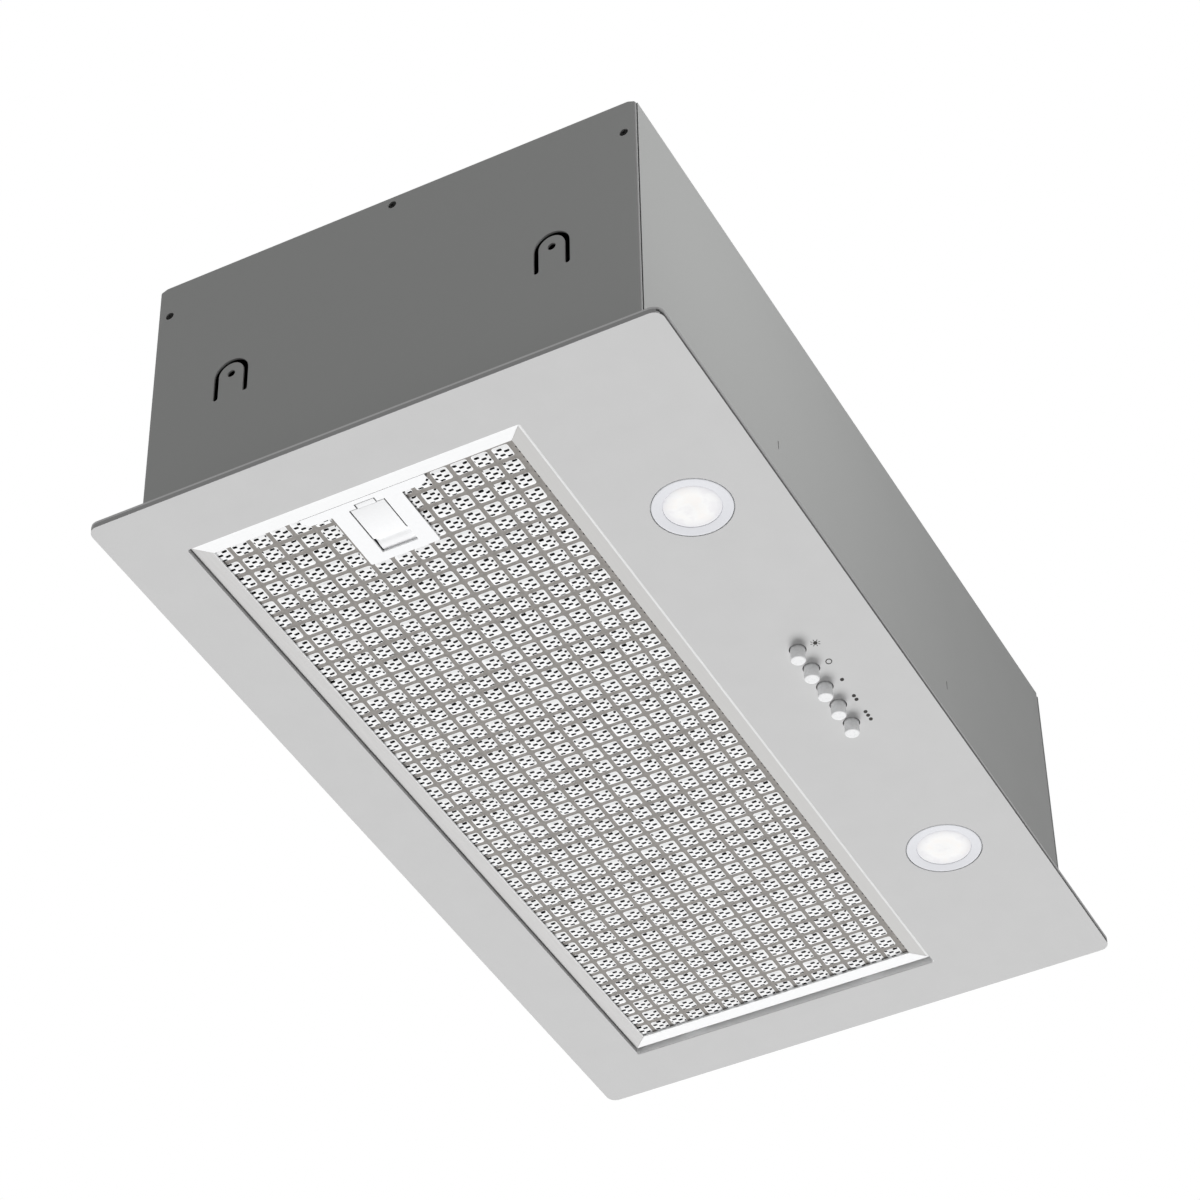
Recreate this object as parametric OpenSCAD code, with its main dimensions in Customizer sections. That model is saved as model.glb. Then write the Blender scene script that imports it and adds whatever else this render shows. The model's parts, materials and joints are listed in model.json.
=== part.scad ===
// Range hood insert: a built-in canopy extractor seen from the cooktop below.
// Millimetres. The origin is the centre of the plane where the panel's hem meets the cabinet.
// +X runs along the length, -Y is the front with lamps and buttons, +Z points up.

/* [Face panel] */
// Length of the face panel, left to right
panel_l = 492; // [486:1:510]
// Width of the face panel, front to rear
panel_w = 277; // [272:1:290]
// Height of the panel's turned-up rim
rim_h = 3.5; // [3.2:0.1:4.5]
// Radius of the panel's corners
panel_r = 5; // [2:0.5:8]
// Width of the hem that bears on the cabinet
hem_w = 8; // [5:0.5:9]
// Thickness of the panel's sheet
panel_t = 1; // [0.8:0.1:1.2]

/* [Filter opening] */
// Width of the panel beside the opening, at each end
side_band = 31.2; // [31.2:0.1:38]
// Width of the panel behind the opening
rear_band = 31.6; // [31:0.1:36]
// Width of the panel in front of the opening, with lamps and buttons
front_band = 81.5; // [76:0.5:90]
// Radius of the opening's corners
opening_r = 1.2; // [0.8:0.1:1.3]
// Height of the opening's turned-up edge
opening_edge_h = 9; // [8:0.5:12]

/* [Casing] */
// Overhang of the panel past each end wall
overhang_l = 16.75; // [16:0.25:17]
// Overhang of the panel past the front and rear walls
overhang_w = 16; // [15.5:0.25:16.25]
// Height of the casing above the hem
case_h = 153.5; // [150:0.5:175]
// Thickness of the casing's sheet
sheet_t = 1; // [0.8:0.1:1.1]
// Radius of the end walls' upright bends
bend_r = 0.9; // [0.7:0.1:1.1]
// Width of the strip that an end wall turns round each upright corner
return_w = 1.2; // [1.1:0.1:3]
// Width of the flanges that stand on the panel
foot_w = 9; // [8.5:0.1:9.5]
// Width of the flanges that join wall to wall
joint_w = 11; // [10:0.5:14]
// Width of the cut at the end walls' upper corners
corner_cut = 3.6; // [1:0.1:5]
// Depth of the cut at the end walls' upper corners
corner_drop = 1.6; // [0.5:0.1:3]

/* [Casing fixings] */
// Distance of the corner screws from the front and rear faces
wall_screw_inset = 6; // [5:0.5:7]
// Distance of the corner screws below the top
wall_screw_drop = 19; // [14:0.5:30]
// Distance of the middle screw below the top
mid_screw_drop = 4.7; // [4.5:0.1:8]
// Radius of the screw holes in the end walls
wall_hole_r = 2.1; // [1.9:0.1:3]
// Distance between the two fixing tabs of an end wall
tab_spacing = 161; // [120:1:180]
// Height of the fixing tabs' holes above the hem
tab_z = 80; // [40:1:110]
// Radius of the hole in a fixing tab
tab_hole_r = 2; // [1.5:0.1:3]
// Distance between the legs of a tab's slot
tab_leg_spacing = 15.2; // [12:0.2:20]
// Width of a tab's slot
tab_slot_w = 2.5; // [1.5:0.1:3.5]
// Length of a tab's legs below its hole
tab_leg_l = 12.5; // [8:0.5:25]
// Distance between the two slits in the front wall
slit_spacing = 187; // [100:1:250]
// Height of the slits above the hem
slit_z = 58; // [30:1:100]

/* [Duct collar] */
// Outer radius of the duct collar
collar_r = 59.5; // [54:0.5:61]
// Height of the collar's tube
collar_h = 42; // [30:1:60]
// Wall of the collar
collar_t = 2; // [1.5:0.1:3]
// Thickness of the collar's square flange
collar_flange_t = 3; // [2:0.5:5]
// Half width of the collar's square flange
collar_flange_half = 66; // [64:1:75]
// Radius of the flap pin
pin_r = 1.5; // [1.2:0.1:2]
// Thickness of a damper flap
flap_t = 1.4; // [1:0.1:2]

/* [Blower] */
// Share of the blower's room that the impeller's radius takes
impeller_share = 0.196; // [0.17:0.001:0.2]
// Width of the impeller
impeller_w = 64; // [50:1:68]
// Number of impeller blades
blade_count = 32; // [20:1:40]
// Share of the impeller's radius that the inlet ring takes
inlet_share = 0.75; // [0.6:0.01:0.76]
// Inner width of the scroll
scroll_w = 76; // [74:1:84]
// Wall of the scroll
scroll_t = 2; // [1.5:0.1:3]
// Gap between the impeller and the scroll's tongue
tongue_gap = 6; // [5:0.5:7]
// Share of the blower's room that the scroll's largest radius takes
scroll_share = 0.318; // [0.3:0.001:0.322]
// Angle of the scroll's tongue above the level
tongue_angle = 55; // [50:1:60]
// Share of the casing's height at which the impeller's axis lies
axis_share = 0.56; // [0.555:0.001:0.57]
// Share of the blower's room that the mouth takes, front to rear
mouth_share = 0.245; // [0.22:0.005:0.26]

/* [Motor] */
// Share of the impeller's radius that the motor's case takes
motor_share = 0.75; // [0.68:0.01:0.77]
// Length of the motor's case
motor_l = 60; // [50:1:80]
// Radius of the motor's shaft
shaft_r = 4; // [3:0.5:5]
// Distance from the motor's case to the middle of each rubber mount
grommet_reach = 8; // [7.5:0.5:9]

/* [Lamps] */
// Share of the panel's length between its middle and each lamp
lamp_share = 0.2732; // [0.22:0.0001:0.33]
// Distance of the lamps and buttons behind the panel's front edge
control_inset = 40.5; // [39.5:0.5:41.5]
// Radius of a lamp's ring
lamp_r = 17.9; // [16:0.1:19]
// Width of the ring's visible face
lamp_face_w = 4.9; // [3:0.1:6]
// Depth of the lamp's cup above the panel
lamp_cup_h = 17; // [14:0.5:24]

/* [Push buttons] */
// Radius of a button
button_r = 3.5; // [3:0.1:4]
// Distance between neighbouring buttons
button_pitch = 14.4; // [13.5:0.1:18]
// Length of a button below the panel
button_reach = 6.5; // [4:0.1:10]
// Travel of a button
button_travel = 3; // [2:0.1:3.5]

/* [Filter] */
// Height of the filter cassette
filter_h = 9; // [8.5:0.1:9.5]
// Depth of the filter's face inside the opening
filter_recess = 1.5; // [1.4:0.1:3.4]
// Width of the visible face of the filter's frame
frame_face_w = 8; // [6:0.1:10]
// Wall of the frame's channel
frame_t = 1; // [0.8:0.1:1.2]
// Distance between the grooves of the face mesh, along the length
pillow_pitch_x = 9.83; // [8:0.01:14]
// Distance between the grooves of the face mesh, along the width
pillow_pitch_y = 9.88; // [8:0.01:14]
// Width of the grooves that run front to rear
groove_x = 1.5; // [0.8:0.1:2.5]
// Width of the grooves that run left to right
groove_y = 1.9; // [0.8:0.1:2.5]
// Distance of the fold lines of the core mesh
core_pitch = 12; // [8:1:20]

/* [Filter latch] */
// Length of the latch plate from the frame inwards
latch_l = 39.4; // [37:0.2:48]
// Width of the latch plate
latch_w = 34.6; // [32:0.2:44]
// Length of the bar at the plate's root
latch_bar_l = 62; // [52:1:80]
// Width of the bar at the plate's root
latch_bar_w = 5.5; // [4:0.1:5.6]
// Length of the slider's flat pad
pad_l = 19.8; // [15:0.2:20]
// Width of the slider's pad
pad_w = 17; // [15:0.2:19]
// Length of the finger scoop behind the pad
scoop_l = 8.8; // [6:0.2:9]
// Width of the slider's nose
nose_w = 9.4; // [7:0.2:12]
// Travel of the slider
latch_travel = 3; // [2:0.1:3.4]

/* [Electrical parts] */
// Radius of the motor's capacitor
capacitor_r = 14; // [10:0.5:18]
// Length of the capacitor
capacitor_l = 55; // [40:1:70]
// Length of the terminal box
terminal_l = 64; // [58:1:72]
// Width of the terminal box
terminal_w = 44; // [38:1:50]
// Depth of the terminal box
terminal_h = 28; // [22:1:40]
// Radius of the hole through the cable gland
gland_hole_r = 4; // [3:0.1:5]
// Length of the lamp driver
driver_l = 76; // [60:1:90]

/* [Hidden] */
$fn = 48;

// Overrun of every cut beyond the face that it opens
over = 1;
// Gap between two pieces that are set against each other without touching
seat_gap = 0.3;
// Radial gap of a shaft or pin that turns in its bore
run_gap = 0.05;
// Radial gap round a screw
screw_gap = 0.3;

// Outlines and levels that the panel and casing share
case_l = panel_l - 2 * overhang_l;
case_w = panel_w - 2 * overhang_w;
opening_l = panel_l - 2 * side_band;
opening_w = panel_w - front_band - rear_band;
opening_y = (front_band - rear_band) / 2;
control_y = panel_w / 2 - control_inset;
panel_z = -rim_h;
plate_z = panel_z + panel_t;
case_x = case_l / 2;
case_y = case_w / 2;
inner_x = case_x - sheet_t;
inner_y = case_y - sheet_t;
ceiling_z = case_h - sheet_t;

// Panel studs and their nuts
stud_r = 2;
stud_h = 6;
nut_r = 4;
nut_h = 3.2;
stud_row_share = 0.43;
stud_mid_share = 0.15;
stud_end_share = 0.2;
stud_y = inner_y - foot_w / 2;
stud_x = inner_x - foot_w / 2;
stud_places = [
    for (sx = [-1, 1], sy = [-1, 1]) each [
        [sx * stud_row_share * case_l, sy * stud_y],
        [sx * stud_mid_share * case_l, sy * stud_y],
        [sx * stud_x, sy * stud_end_share * case_w]
    ]
];

// Walls
wall_gap = 1.3;
end_foot_share = 0.8;
front_x = case_x - return_w - wall_gap;
top_skirt_h = 12;
top_skirt_share = 0.8;
slit_w = 0.8;
slit_h = 5;
wall_screw_r = 1.1;
wall_screw_l = 6;
wall_head_gap = 0.4;
wall_head_sink = 0.1;

// Duct collar and damper flaps
collar_x = 0;
collar_y = 0;
collar_z = case_h + collar_flange_t;
collar_top = collar_z + collar_h;
collar_in_r = collar_r - collar_t;
outlet_r = 50;
outlet_gap = 1.2;
ledge_w = 4;
ledge_t = 2;
flap_gap = 0.8;
flap_r = collar_in_r - flap_gap;
flap_z = collar_z + ledge_t + seat_gap + flap_t / 2;
knuckle_r = pin_r + 1.3 * pin_r / 1.5;
knuckle_pairs = 4;
knuckle_gap = 0.4;
knuckle_l = 12;
flap_root = knuckle_r + knuckle_gap;
flap_overlap = 1;
pin_end_gap = 0.3;
outlet_screw_place = 55;
outlet_screw_r = 2;
outlet_head_r = 3.6;
outlet_head_h = 2.4;
outlet_screw_l = 5;

// Scroll and impeller; the scroll's axis runs along X. The room is the casing's width or,
// where that is less, a share of its height
room_share = 1.6;
room = min(case_w, room_share * case_h);
impeller_r = impeller_share * room;
inlet_r = inlet_share * impeller_r;
scroll_end_r = scroll_share * room;
mouth_w = mouth_share * room;
blower_z = axis_share * case_h;
mouth_rear = mouth_w / 2;
blower_y = mouth_rear - scroll_end_r;
scroll_start_r = impeller_r + tongue_gap;
scroll_steps = 36;
scroll_flange_half = 61;
scroll_flange_t = 2;
scroll_x = scroll_w / 2;
shaft_hole_r = shaft_r + 8;
boss_r = 3.5;
boss_angles = [120, 160, 205, 240, 300, 345];
blower_screw_r = 1.5;
blower_head_r = 2.8;
blower_head_h = 1.8;
blower_screw_l = 12;
inlet_lip_t = 1.5;
inlet_lip_h = 4;
impeller_x = impeller_w / 2;
disc_t = 2;
blade_t = 1.1;
blade_depth = 9;
blade_tilt = 25;
hub_r = 9;
hub_l = 24;
shaft_nut_r = 7;
shaft_nut_l = 6;
shaft_tip = 3;

// Motor; its bracket hangs on the scroll's back plate through rubber mounts
motor_r = motor_share * impeller_r;
grommet_circle_r = motor_r + grommet_reach;
back_x = -scroll_x - scroll_t;
grommet_r = 6;
grommet_l = 3;
bracket_t = 1.5;
bracket_x = back_x - grommet_l;
motor_x = bracket_x - bracket_t;
motor_t = 2.5;
bearing_r = 8;
bearing_l = 8;
bearing_boss_r = 11;
stator_l_share = 0.45;
stator_in_share = 0.57;
stator_in_r = stator_in_share * motor_r;
rotor_gap = 0.5;
winding_share = 0.78;
winding_r = winding_share * motor_r;
winding_l = 5;
arm_w = 14;
arm_eye_r = 8;
arm_angles = [90, 210, 330];
shaft_stub = 2;

// Lamps, measured from the panel's lower face
lamp_x = lamp_share * panel_l;
lamp_gap = 0.5;
lamp_hole_r = lamp_r + lamp_gap;
lens_r = lamp_r - lamp_face_w;
ring_tube_r = lamp_r - 1.4;
ring_tube_t = 0.9;
ring_ledge_z = panel_z + 2;
ring_slope = 0.9;
ring_top = panel_z + 5;
lens_t = 1.2;
lens_drop = 0.9;
lens_edge = 0.3;
cup_flange_r = lamp_r + 3;
cup_flange_t = 1.2;
cup_t = 1.5;
cup_in_r = ring_tube_r + seat_gap / 3;
board_z = panel_z + 8;
board_t = 1.2;
board_r = cup_in_r - 2;
led_count = 6;
led_w = 2.8;
led_h = 0.8;
led_circle_r = 8;
cup_ledge_w = 3.5;
cup_top = panel_z + lamp_cup_h;

// Buttons and their housing
button_hole_gap = 0.5;
guide_gap = 0.1;
housing_side = 9;
housing_half_w = 9.5;
housing_floor = 2.5;
pocket_gap = 0.4;
shoulder_w = 1.2;
shoulder_h = 2;
shoulder_z = plate_z + housing_floor + seat_gap;
stem_r = 1.8;
stem_l = 6;
stem_gap = 0.5;
button_chamfer = 0.4;
housing_top = shoulder_z + shoulder_h + stem_l + button_travel + stem_gap;
lid_t = 2;
spring_wall = 1.2;
blade_w = 4;
blade_h = 6;
blade_thick = 0.8;
blade_row = 5;
button_places = [for (i = [-2:2]) i * button_pitch];

// Filter cassette
filter_gap_left = 0.4;
filter_gap_right = 2.5;
filter_gap_y = 0.4;
filter_l = opening_l - filter_gap_left - filter_gap_right;
filter_shift = (filter_gap_left - filter_gap_right) / 2;
filter_w = opening_w - 2 * filter_gap_y;
filter_x = filter_l / 2;
filter_y = filter_w / 2;
filter_z = panel_z + filter_recess;
frame_bevel = 0.6;
mesh_z = filter_z + frame_t;
mesh_t = 0.8;
groove_depth = 0.4;
back_t = 0.6;
back_z = filter_z + filter_h - frame_t - back_t;
core_z = mesh_z + mesh_t;
core_t = 0.5;
core_h = back_z - core_z;
mesh_gap = 0.3;
mesh_x = filter_x - frame_t - mesh_gap;
mesh_y = filter_y - frame_t - mesh_gap;
window_x = filter_x - frame_face_w;
window_y = filter_y - frame_face_w;
ear_w = 12;
ear_l = 5.5;
ear_rise = 2.5;
ear_gap = 0.8;
ear_offset_share = 0.3;
row_shift = -2;
column_shift = 1.2;

// Latch: the plate lies over the mesh, the slider runs between it and the tray
latch_t = frame_t;
latch_x = -window_x;
latch_r = 1;
bar_chamfer = 3;
slot_gap = 0.3;
pad_x = latch_x + latch_bar_w;
tab_l = 2.6;
nose_t = 1;
nose_z = mesh_z + 0.2;
nose_stop_gap = 0.3;
nose_tip = -opening_l / 2 + nose_stop_gap - filter_shift;
pad_drop = 0.1;
pad_t = 1.8;
scoop_t = 0.8;
scoop_z = mesh_z + 0.25;
hidden_l = 1;
tray_gap = 0.4;
tray_t = 1;
tray_top = back_z - seat_gap;
lug_l = 2;
lug_w = 5;
spring_r = 1.3;
spring_hole_r = 0.8;
keeper_gap = 0.5;
pad_end = pad_x + pad_l;
scoop_end = pad_end + scoop_l;
slider_end = scoop_end + hidden_l;
tray_x0 = -filter_x + frame_t + mesh_gap;
tray_x1 = slider_end + latch_travel + tray_gap + tray_t;
tray_half = pad_w / 2 + tray_gap + tray_t;

// Electrical parts under the ceiling
capacitor_shares = [-0.33, 0.2];
capacitor_place = [capacitor_shares[0] * case_l, capacitor_shares[1] * case_w];
stud_len = 8;
terminal_shares = [0.33, 0.225];
terminal_place = [terminal_shares[0] * case_l, terminal_shares[1] * case_w];
terminal_t = 2;
gland_offset = -16;
gland_r = 8;
gland_hex_r = 12;
gland_hex_h = 6;
gland_dome_r = 9.5;
gland_dome_h = 12;
gland_nut_h = 4;
gland_tail = 12;
driver_shares = [0.33, -0.225];
driver_place = [driver_shares[0] * case_l, driver_shares[1] * case_w];
driver_w = 34;
driver_h = 22;
driver_foot_l = 10;
driver_foot_t = 2;

// Names the four corners of a rectangle of half sizes x and y
function corners(x, y) = [for (sx = [-1, 1], sy = [-1, 1]) [sx * x, sy * y]];

// Radius of the scroll's inner face at an angle from +Y towards +Z
function scroll_r(a) =
    scroll_start_r + (scroll_end_r - scroll_start_r) * (a - tongue_angle) / (360 - tongue_angle);

// A point at radius r and angle a round the blower's axis, as [y, z]
function round_blower(r, a) = [blower_y + r * cos(a), blower_z + r * sin(a)];

module rounded_rect(l, w, r) {
    square([l - 2 * r, w], center = true);
    square([l, w - 2 * r], center = true);
    for (p = corners(l / 2 - r, w / 2 - r)) translate(p) circle(r);
}

module box(x0, x1, y0, y1, z0, z1) {
    translate([x0, y0, z0]) cube([x1 - x0, y1 - y0, z1 - z0]);
}

module tube(r_out, r_in, z0, z1) {
    difference() {
        translate([0, 0, z0]) cylinder(r = r_out, h = z1 - z0);
        translate([0, 0, z0 - over]) cylinder(r = r_in, h = z1 - z0 + 2 * over);
    }
}

// Lays a shape drawn in Y and Z, extruded from x0 to x1
module along_x(x0, x1) {
    translate([x0, 0, 0]) rotate([90, 0, 90]) linear_extrude(x1 - x0) children();
}

// A cylinder along X from x0 to x1 at [y, z]
module rod_x(r, x0, x1, at = [0, 0]) {
    translate([x0, at[0], at[1]]) rotate([0, 90, 0]) cylinder(r = r, h = x1 - x0);
}

module hexagon(r, z0, z1) {
    translate([0, 0, z0]) cylinder(r = r, h = z1 - z0, $fn = 6);
}

// Face panel: a tray with a hem, a filter opening, lamp holes, button holes and weld studs
module face_panel() {
    edge_top = panel_z + opening_edge_h;
    color("lightgray") difference() {
        union() {
            translate([0, 0, panel_z]) linear_extrude(panel_t) rounded_rect(panel_l, panel_w, panel_r);
            translate([0, 0, panel_z]) linear_extrude(rim_h) difference() {
                rounded_rect(panel_l, panel_w, panel_r);
                square([panel_l - 2 * panel_t, panel_w - 2 * panel_t], center = true);
            }
            translate([0, 0, -panel_t]) linear_extrude(panel_t) difference() {
                rounded_rect(panel_l, panel_w, panel_r);
                square([panel_l - 2 * hem_w, panel_w - 2 * hem_w], center = true);
            }
            translate([0, opening_y, panel_z]) linear_extrude(opening_edge_h)
                rounded_rect(opening_l + 2 * panel_t, opening_w + 2 * panel_t, opening_r + panel_t);
            for (p = stud_places) translate([p[0], p[1], plate_z]) cylinder(r = stud_r, h = stud_h);
        }
        translate([0, opening_y, panel_z - over]) linear_extrude(opening_edge_h + 2 * over)
            rounded_rect(opening_l, opening_w, opening_r);
        for (s = [-1, 1]) translate([s * lamp_x, -control_y, panel_z - over])
            cylinder(r = lamp_hole_r, h = panel_t + 2 * over);
        for (x = button_places) translate([x, -control_y, panel_z - over])
            cylinder(r = button_r + button_hole_gap, h = panel_t + 2 * over);
        for (s = [-1, 1]) {
            y = opening_y + s * ear_offset_share * opening_w;
            box(opening_l / 2 - over, opening_l / 2 + panel_t + over, y - ear_w / 2 - ear_gap,
                y + ear_w / 2 + ear_gap, filter_z + ear_rise - seat_gap, edge_top + over);
        }
        box(-opening_l / 2 - panel_t - over, -opening_l / 2 + over,
            opening_y - nose_w / 2 - keeper_gap, opening_y + nose_w / 2 + keeper_gap,
            nose_z - keeper_gap, nose_z + nose_t + keeper_gap);
    }
}

module panel_nuts() {
    nut_z = plate_z + sheet_t;
    color("silver") for (p = stud_places) translate(p) difference() {
        hexagon(nut_r, nut_z, nut_z + nut_h);
        translate([0, 0, nut_z - over]) cylinder(r = stud_r + run_gap, h = nut_h + 2 * over);
    }
}

// The slot that frees a fixing tab: an arch with two legs, drawn in Y and Z round the tab's hole
module tab_slot() {
    mid = tab_leg_spacing / 2;
    out = mid + tab_slot_w / 2;
    in = mid - tab_slot_w / 2;
    difference() {
        circle(out);
        circle(in);
        translate([-out - over, -out - over]) square([2 * (out + over), out + over]);
    }
    for (s = [-1, 1]) translate([s * mid, 0]) {
        translate([-tab_slot_w / 2, -tab_leg_l]) square([tab_slot_w, tab_leg_l]);
        translate([0, -tab_leg_l]) circle(tab_slot_w / 2);
    }
}

// End wall at -X; the other one is its mirror image
module end_wall() {
    wall_screw_y = case_y - wall_screw_inset;
    color("gray") difference() {
        union() {
            translate([0, 0, plate_z]) linear_extrude(case_h - plate_z) intersection() {
                difference() {
                    rounded_rect(case_l, case_w, bend_r);
                    square([2 * inner_x, 2 * inner_y], center = true);
                }
                translate([-case_x - over, -case_y - over])
                    square([return_w + over, case_w + 2 * over]);
            }
            box(-inner_x - sheet_t / 2, -inner_x + foot_w, -end_foot_share * inner_y,
                end_foot_share * inner_y, plate_z, plate_z + sheet_t);
        }
        for (s = [-1, 1]) {
            rod_x(wall_hole_r, -case_x - over, -inner_x + over,
                [s * wall_screw_y, case_h - wall_screw_drop]);
            rod_x(tab_hole_r, -case_x - over, -inner_x + over, [s * tab_spacing / 2, tab_z]);
            along_x(-case_x - over, -inner_x + over) translate([s * tab_spacing / 2, tab_z])
                tab_slot();
        }
        rod_x(wall_hole_r, -case_x - over, -inner_x + over, [0, case_h - mid_screw_drop]);
        for (s = [0, 1]) mirror([0, s, 0]) along_x(-case_x - over, -case_x + return_w + over)
            polygon([
                [case_y - corner_cut, case_h], [case_y, case_h - corner_drop],
                [case_y + over, case_h - corner_drop], [case_y + over, case_h + over],
                [case_y - corner_cut, case_h + over]
            ]);
        for (p = stud_places) translate([p[0], p[1], plate_z - over])
            cylinder(r = stud_r + screw_gap, h = sheet_t + 2 * over);
    }
}

module end_wall_left() { end_wall(); }

module end_wall_right() { mirror([1, 0, 0]) end_wall(); }

// Front wall with its joggled side flanges and its foot; the rear wall is its mirror image
module long_wall() {
    joggle_x = front_x - joint_w / 4;
    color("silver") difference() {
        union() {
            box(-front_x, front_x, -case_y, -inner_y, plate_z, case_h);
            for (s = [0, 1]) mirror([s, 0, 0]) {
                box(-inner_x, -joggle_x, -inner_y, -inner_y + sheet_t, plate_z, ceiling_z);
                box(-inner_x, -inner_x + sheet_t, -inner_y, -inner_y + joint_w, plate_z, ceiling_z);
            }
            box(-front_x, front_x, -inner_y - sheet_t / 2, -inner_y + foot_w, plate_z,
                plate_z + sheet_t);
        }
        for (s = [-1, 1]) {
            translate([s * lamp_x, -control_y, plate_z - over])
                cylinder(r = cup_flange_r + over, h = sheet_t + 2 * over);
            box(s * slit_spacing / 2 - slit_w / 2, s * slit_spacing / 2 + slit_w / 2,
                -case_y - over, -inner_y + over, slit_z - slit_h / 2, slit_z + slit_h / 2);
        }
        rod_x(wall_screw_r + run_gap, -case_x, case_x,
            [-case_y + wall_screw_inset, case_h - wall_screw_drop]);
        for (p = stud_places) translate([p[0], p[1], plate_z - over])
            cylinder(r = stud_r + screw_gap, h = sheet_t + 2 * over);
    }
}

module front_wall() { long_wall(); }

module rear_wall() { mirror([0, 1, 0]) long_wall(); }

// Top plate with its four skirts, the outlet hole and the holes of what hangs under it
module top_plate() {
    skirt_z = ceiling_z - top_skirt_h;
    color("darkgray") difference() {
        union() {
            box(-inner_x, inner_x, -inner_y, inner_y, ceiling_z, case_h);
            for (s = [0, 1]) {
                mirror([s, 0, 0]) box(-inner_x, -inner_x + sheet_t, -top_skirt_share * inner_y,
                    top_skirt_share * inner_y, skirt_z, ceiling_z);
                mirror([0, s, 0]) box(-top_skirt_share * inner_x, top_skirt_share * inner_x,
                    -inner_y, -inner_y + sheet_t, skirt_z, ceiling_z);
            }
        }
        translate([collar_x, collar_y, ceiling_z - over])
            cylinder(r = outlet_r, h = sheet_t + 2 * over);
        for (p = corners(outlet_screw_place, outlet_screw_place))
            translate([p[0], p[1], ceiling_z - over])
                cylinder(r = outlet_screw_r + screw_gap, h = sheet_t + 2 * over);
        translate([terminal_place[0] + gland_offset, terminal_place[1], ceiling_z - over])
            cylinder(r = gland_r + screw_gap, h = sheet_t + 2 * over);
        translate([capacitor_place[0], capacitor_place[1], ceiling_z - over])
            cylinder(r = stud_r + screw_gap, h = sheet_t + 2 * over);
        rod_x(wall_screw_r + run_gap, -case_x, case_x, [0, case_h - mid_screw_drop]);
    }
}

// Three screws in each end wall, their heads sunk in the wall's holes
module wall_screws() {
    head_r = wall_hole_r - wall_head_gap;
    wall_screw_y = case_y - wall_screw_inset;
    places = [
        [-wall_screw_y, case_h - wall_screw_drop],
        [wall_screw_y, case_h - wall_screw_drop],
        [0, case_h - mid_screw_drop]
    ];
    color("dimgray") for (s = [0, 1], p = places) mirror([s, 0, 0]) {
        rod_x(head_r, -case_x + wall_head_sink, -inner_x, p);
        rod_x(wall_screw_r, -case_x + wall_head_sink, -inner_x + wall_screw_l, p);
    }
}

// Duct collar: square flange, tube, ledge under the flaps and holes for the flap pin
module outlet_collar() {
    color("slategray") difference() {
        union() {
            translate([0, 0, case_h]) linear_extrude(collar_flange_t)
                rounded_rect(2 * collar_flange_half, 2 * collar_flange_half, panel_r);
            translate([0, 0, case_h]) cylinder(r = collar_r, h = collar_top - case_h);
        }
        translate([0, 0, collar_z + ledge_t]) cylinder(r = collar_in_r, h = collar_h + over);
        translate([0, 0, case_h - over])
            cylinder(r = collar_in_r - ledge_w, h = collar_flange_t + ledge_t + 2 * over);
        rod_x(pin_r + run_gap, -collar_r - over, collar_r + over, [0, flap_z]);
        for (p = corners(outlet_screw_place, outlet_screw_place))
            translate([p[0], p[1], case_h - over])
                cylinder(r = outlet_screw_r + screw_gap, h = collar_flange_t + 2 * over);
    }
}

// Four screws that clamp the collar, the top plate and the scroll's flange together
module outlet_screws() {
    low = ceiling_z - scroll_flange_t - outlet_screw_l;
    color("dimgray") for (p = corners(outlet_screw_place, outlet_screw_place)) translate(p) {
        translate([0, 0, low]) cylinder(r = outlet_screw_r, h = collar_z - low + outlet_head_h / 2);
        translate([0, 0, collar_z]) cylinder(r = outlet_head_r, h = outlet_head_h);
    }
}

module flap_pin() {
    color("silver") rod_x(pin_r, -collar_r + pin_end_gap, collar_r - pin_end_gap, [0, flap_z]);
}

// A half-round damper flap behind the pin, with every other knuckle; first is 0 or 1
module flap(first) {
    step = 2 * (knuckle_l + knuckle_gap);
    start = -knuckle_pairs * step / 2 + knuckle_gap / 2 + first * step / 2;
    color("ivory") difference() {
        union() {
            translate([0, 0, flap_z - flap_t / 2]) intersection() {
                cylinder(r = flap_r, h = flap_t);
                translate([-flap_r, flap_root, 0]) cube([2 * flap_r, flap_r, flap_t]);
            }
            for (i = [0:knuckle_pairs - 1]) {
                x = start + i * step;
                rod_x(knuckle_r, x, x + knuckle_l, [0, flap_z]);
                box(x, x + knuckle_l, 0, flap_root + flap_overlap, flap_z - flap_t / 2,
                    flap_z + flap_t / 2);
            }
        }
        rod_x(pin_r + run_gap, -collar_r, collar_r, [0, flap_z]);
    }
}

module flap_rear() { flap(0); }

module flap_front() { mirror([0, 1, 0]) flap(1); }

// Outline of the scroll in Y and Z, grown by t; the mouth rises to the given level
module scroll_outline(t, top) {
    tip = round_blower(scroll_start_r, tongue_angle);
    polygon([
        for (i = [0:scroll_steps])
            let (a = tongue_angle + (360 - tongue_angle) * i / scroll_steps)
                round_blower(scroll_r(a) + t, a)
    ]);
    polygon([
        [tip[0] - t, tip[1]], [mouth_rear - mouth_w - t, top], [mouth_rear + t, top],
        [blower_y + scroll_end_r + t, blower_z], [blower_y, blower_z]
    ]);
}

module boss_spots() {
    for (a = boss_angles) translate(round_blower(scroll_r(a) + scroll_t + boss_r / 2, a)) children();
}

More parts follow.
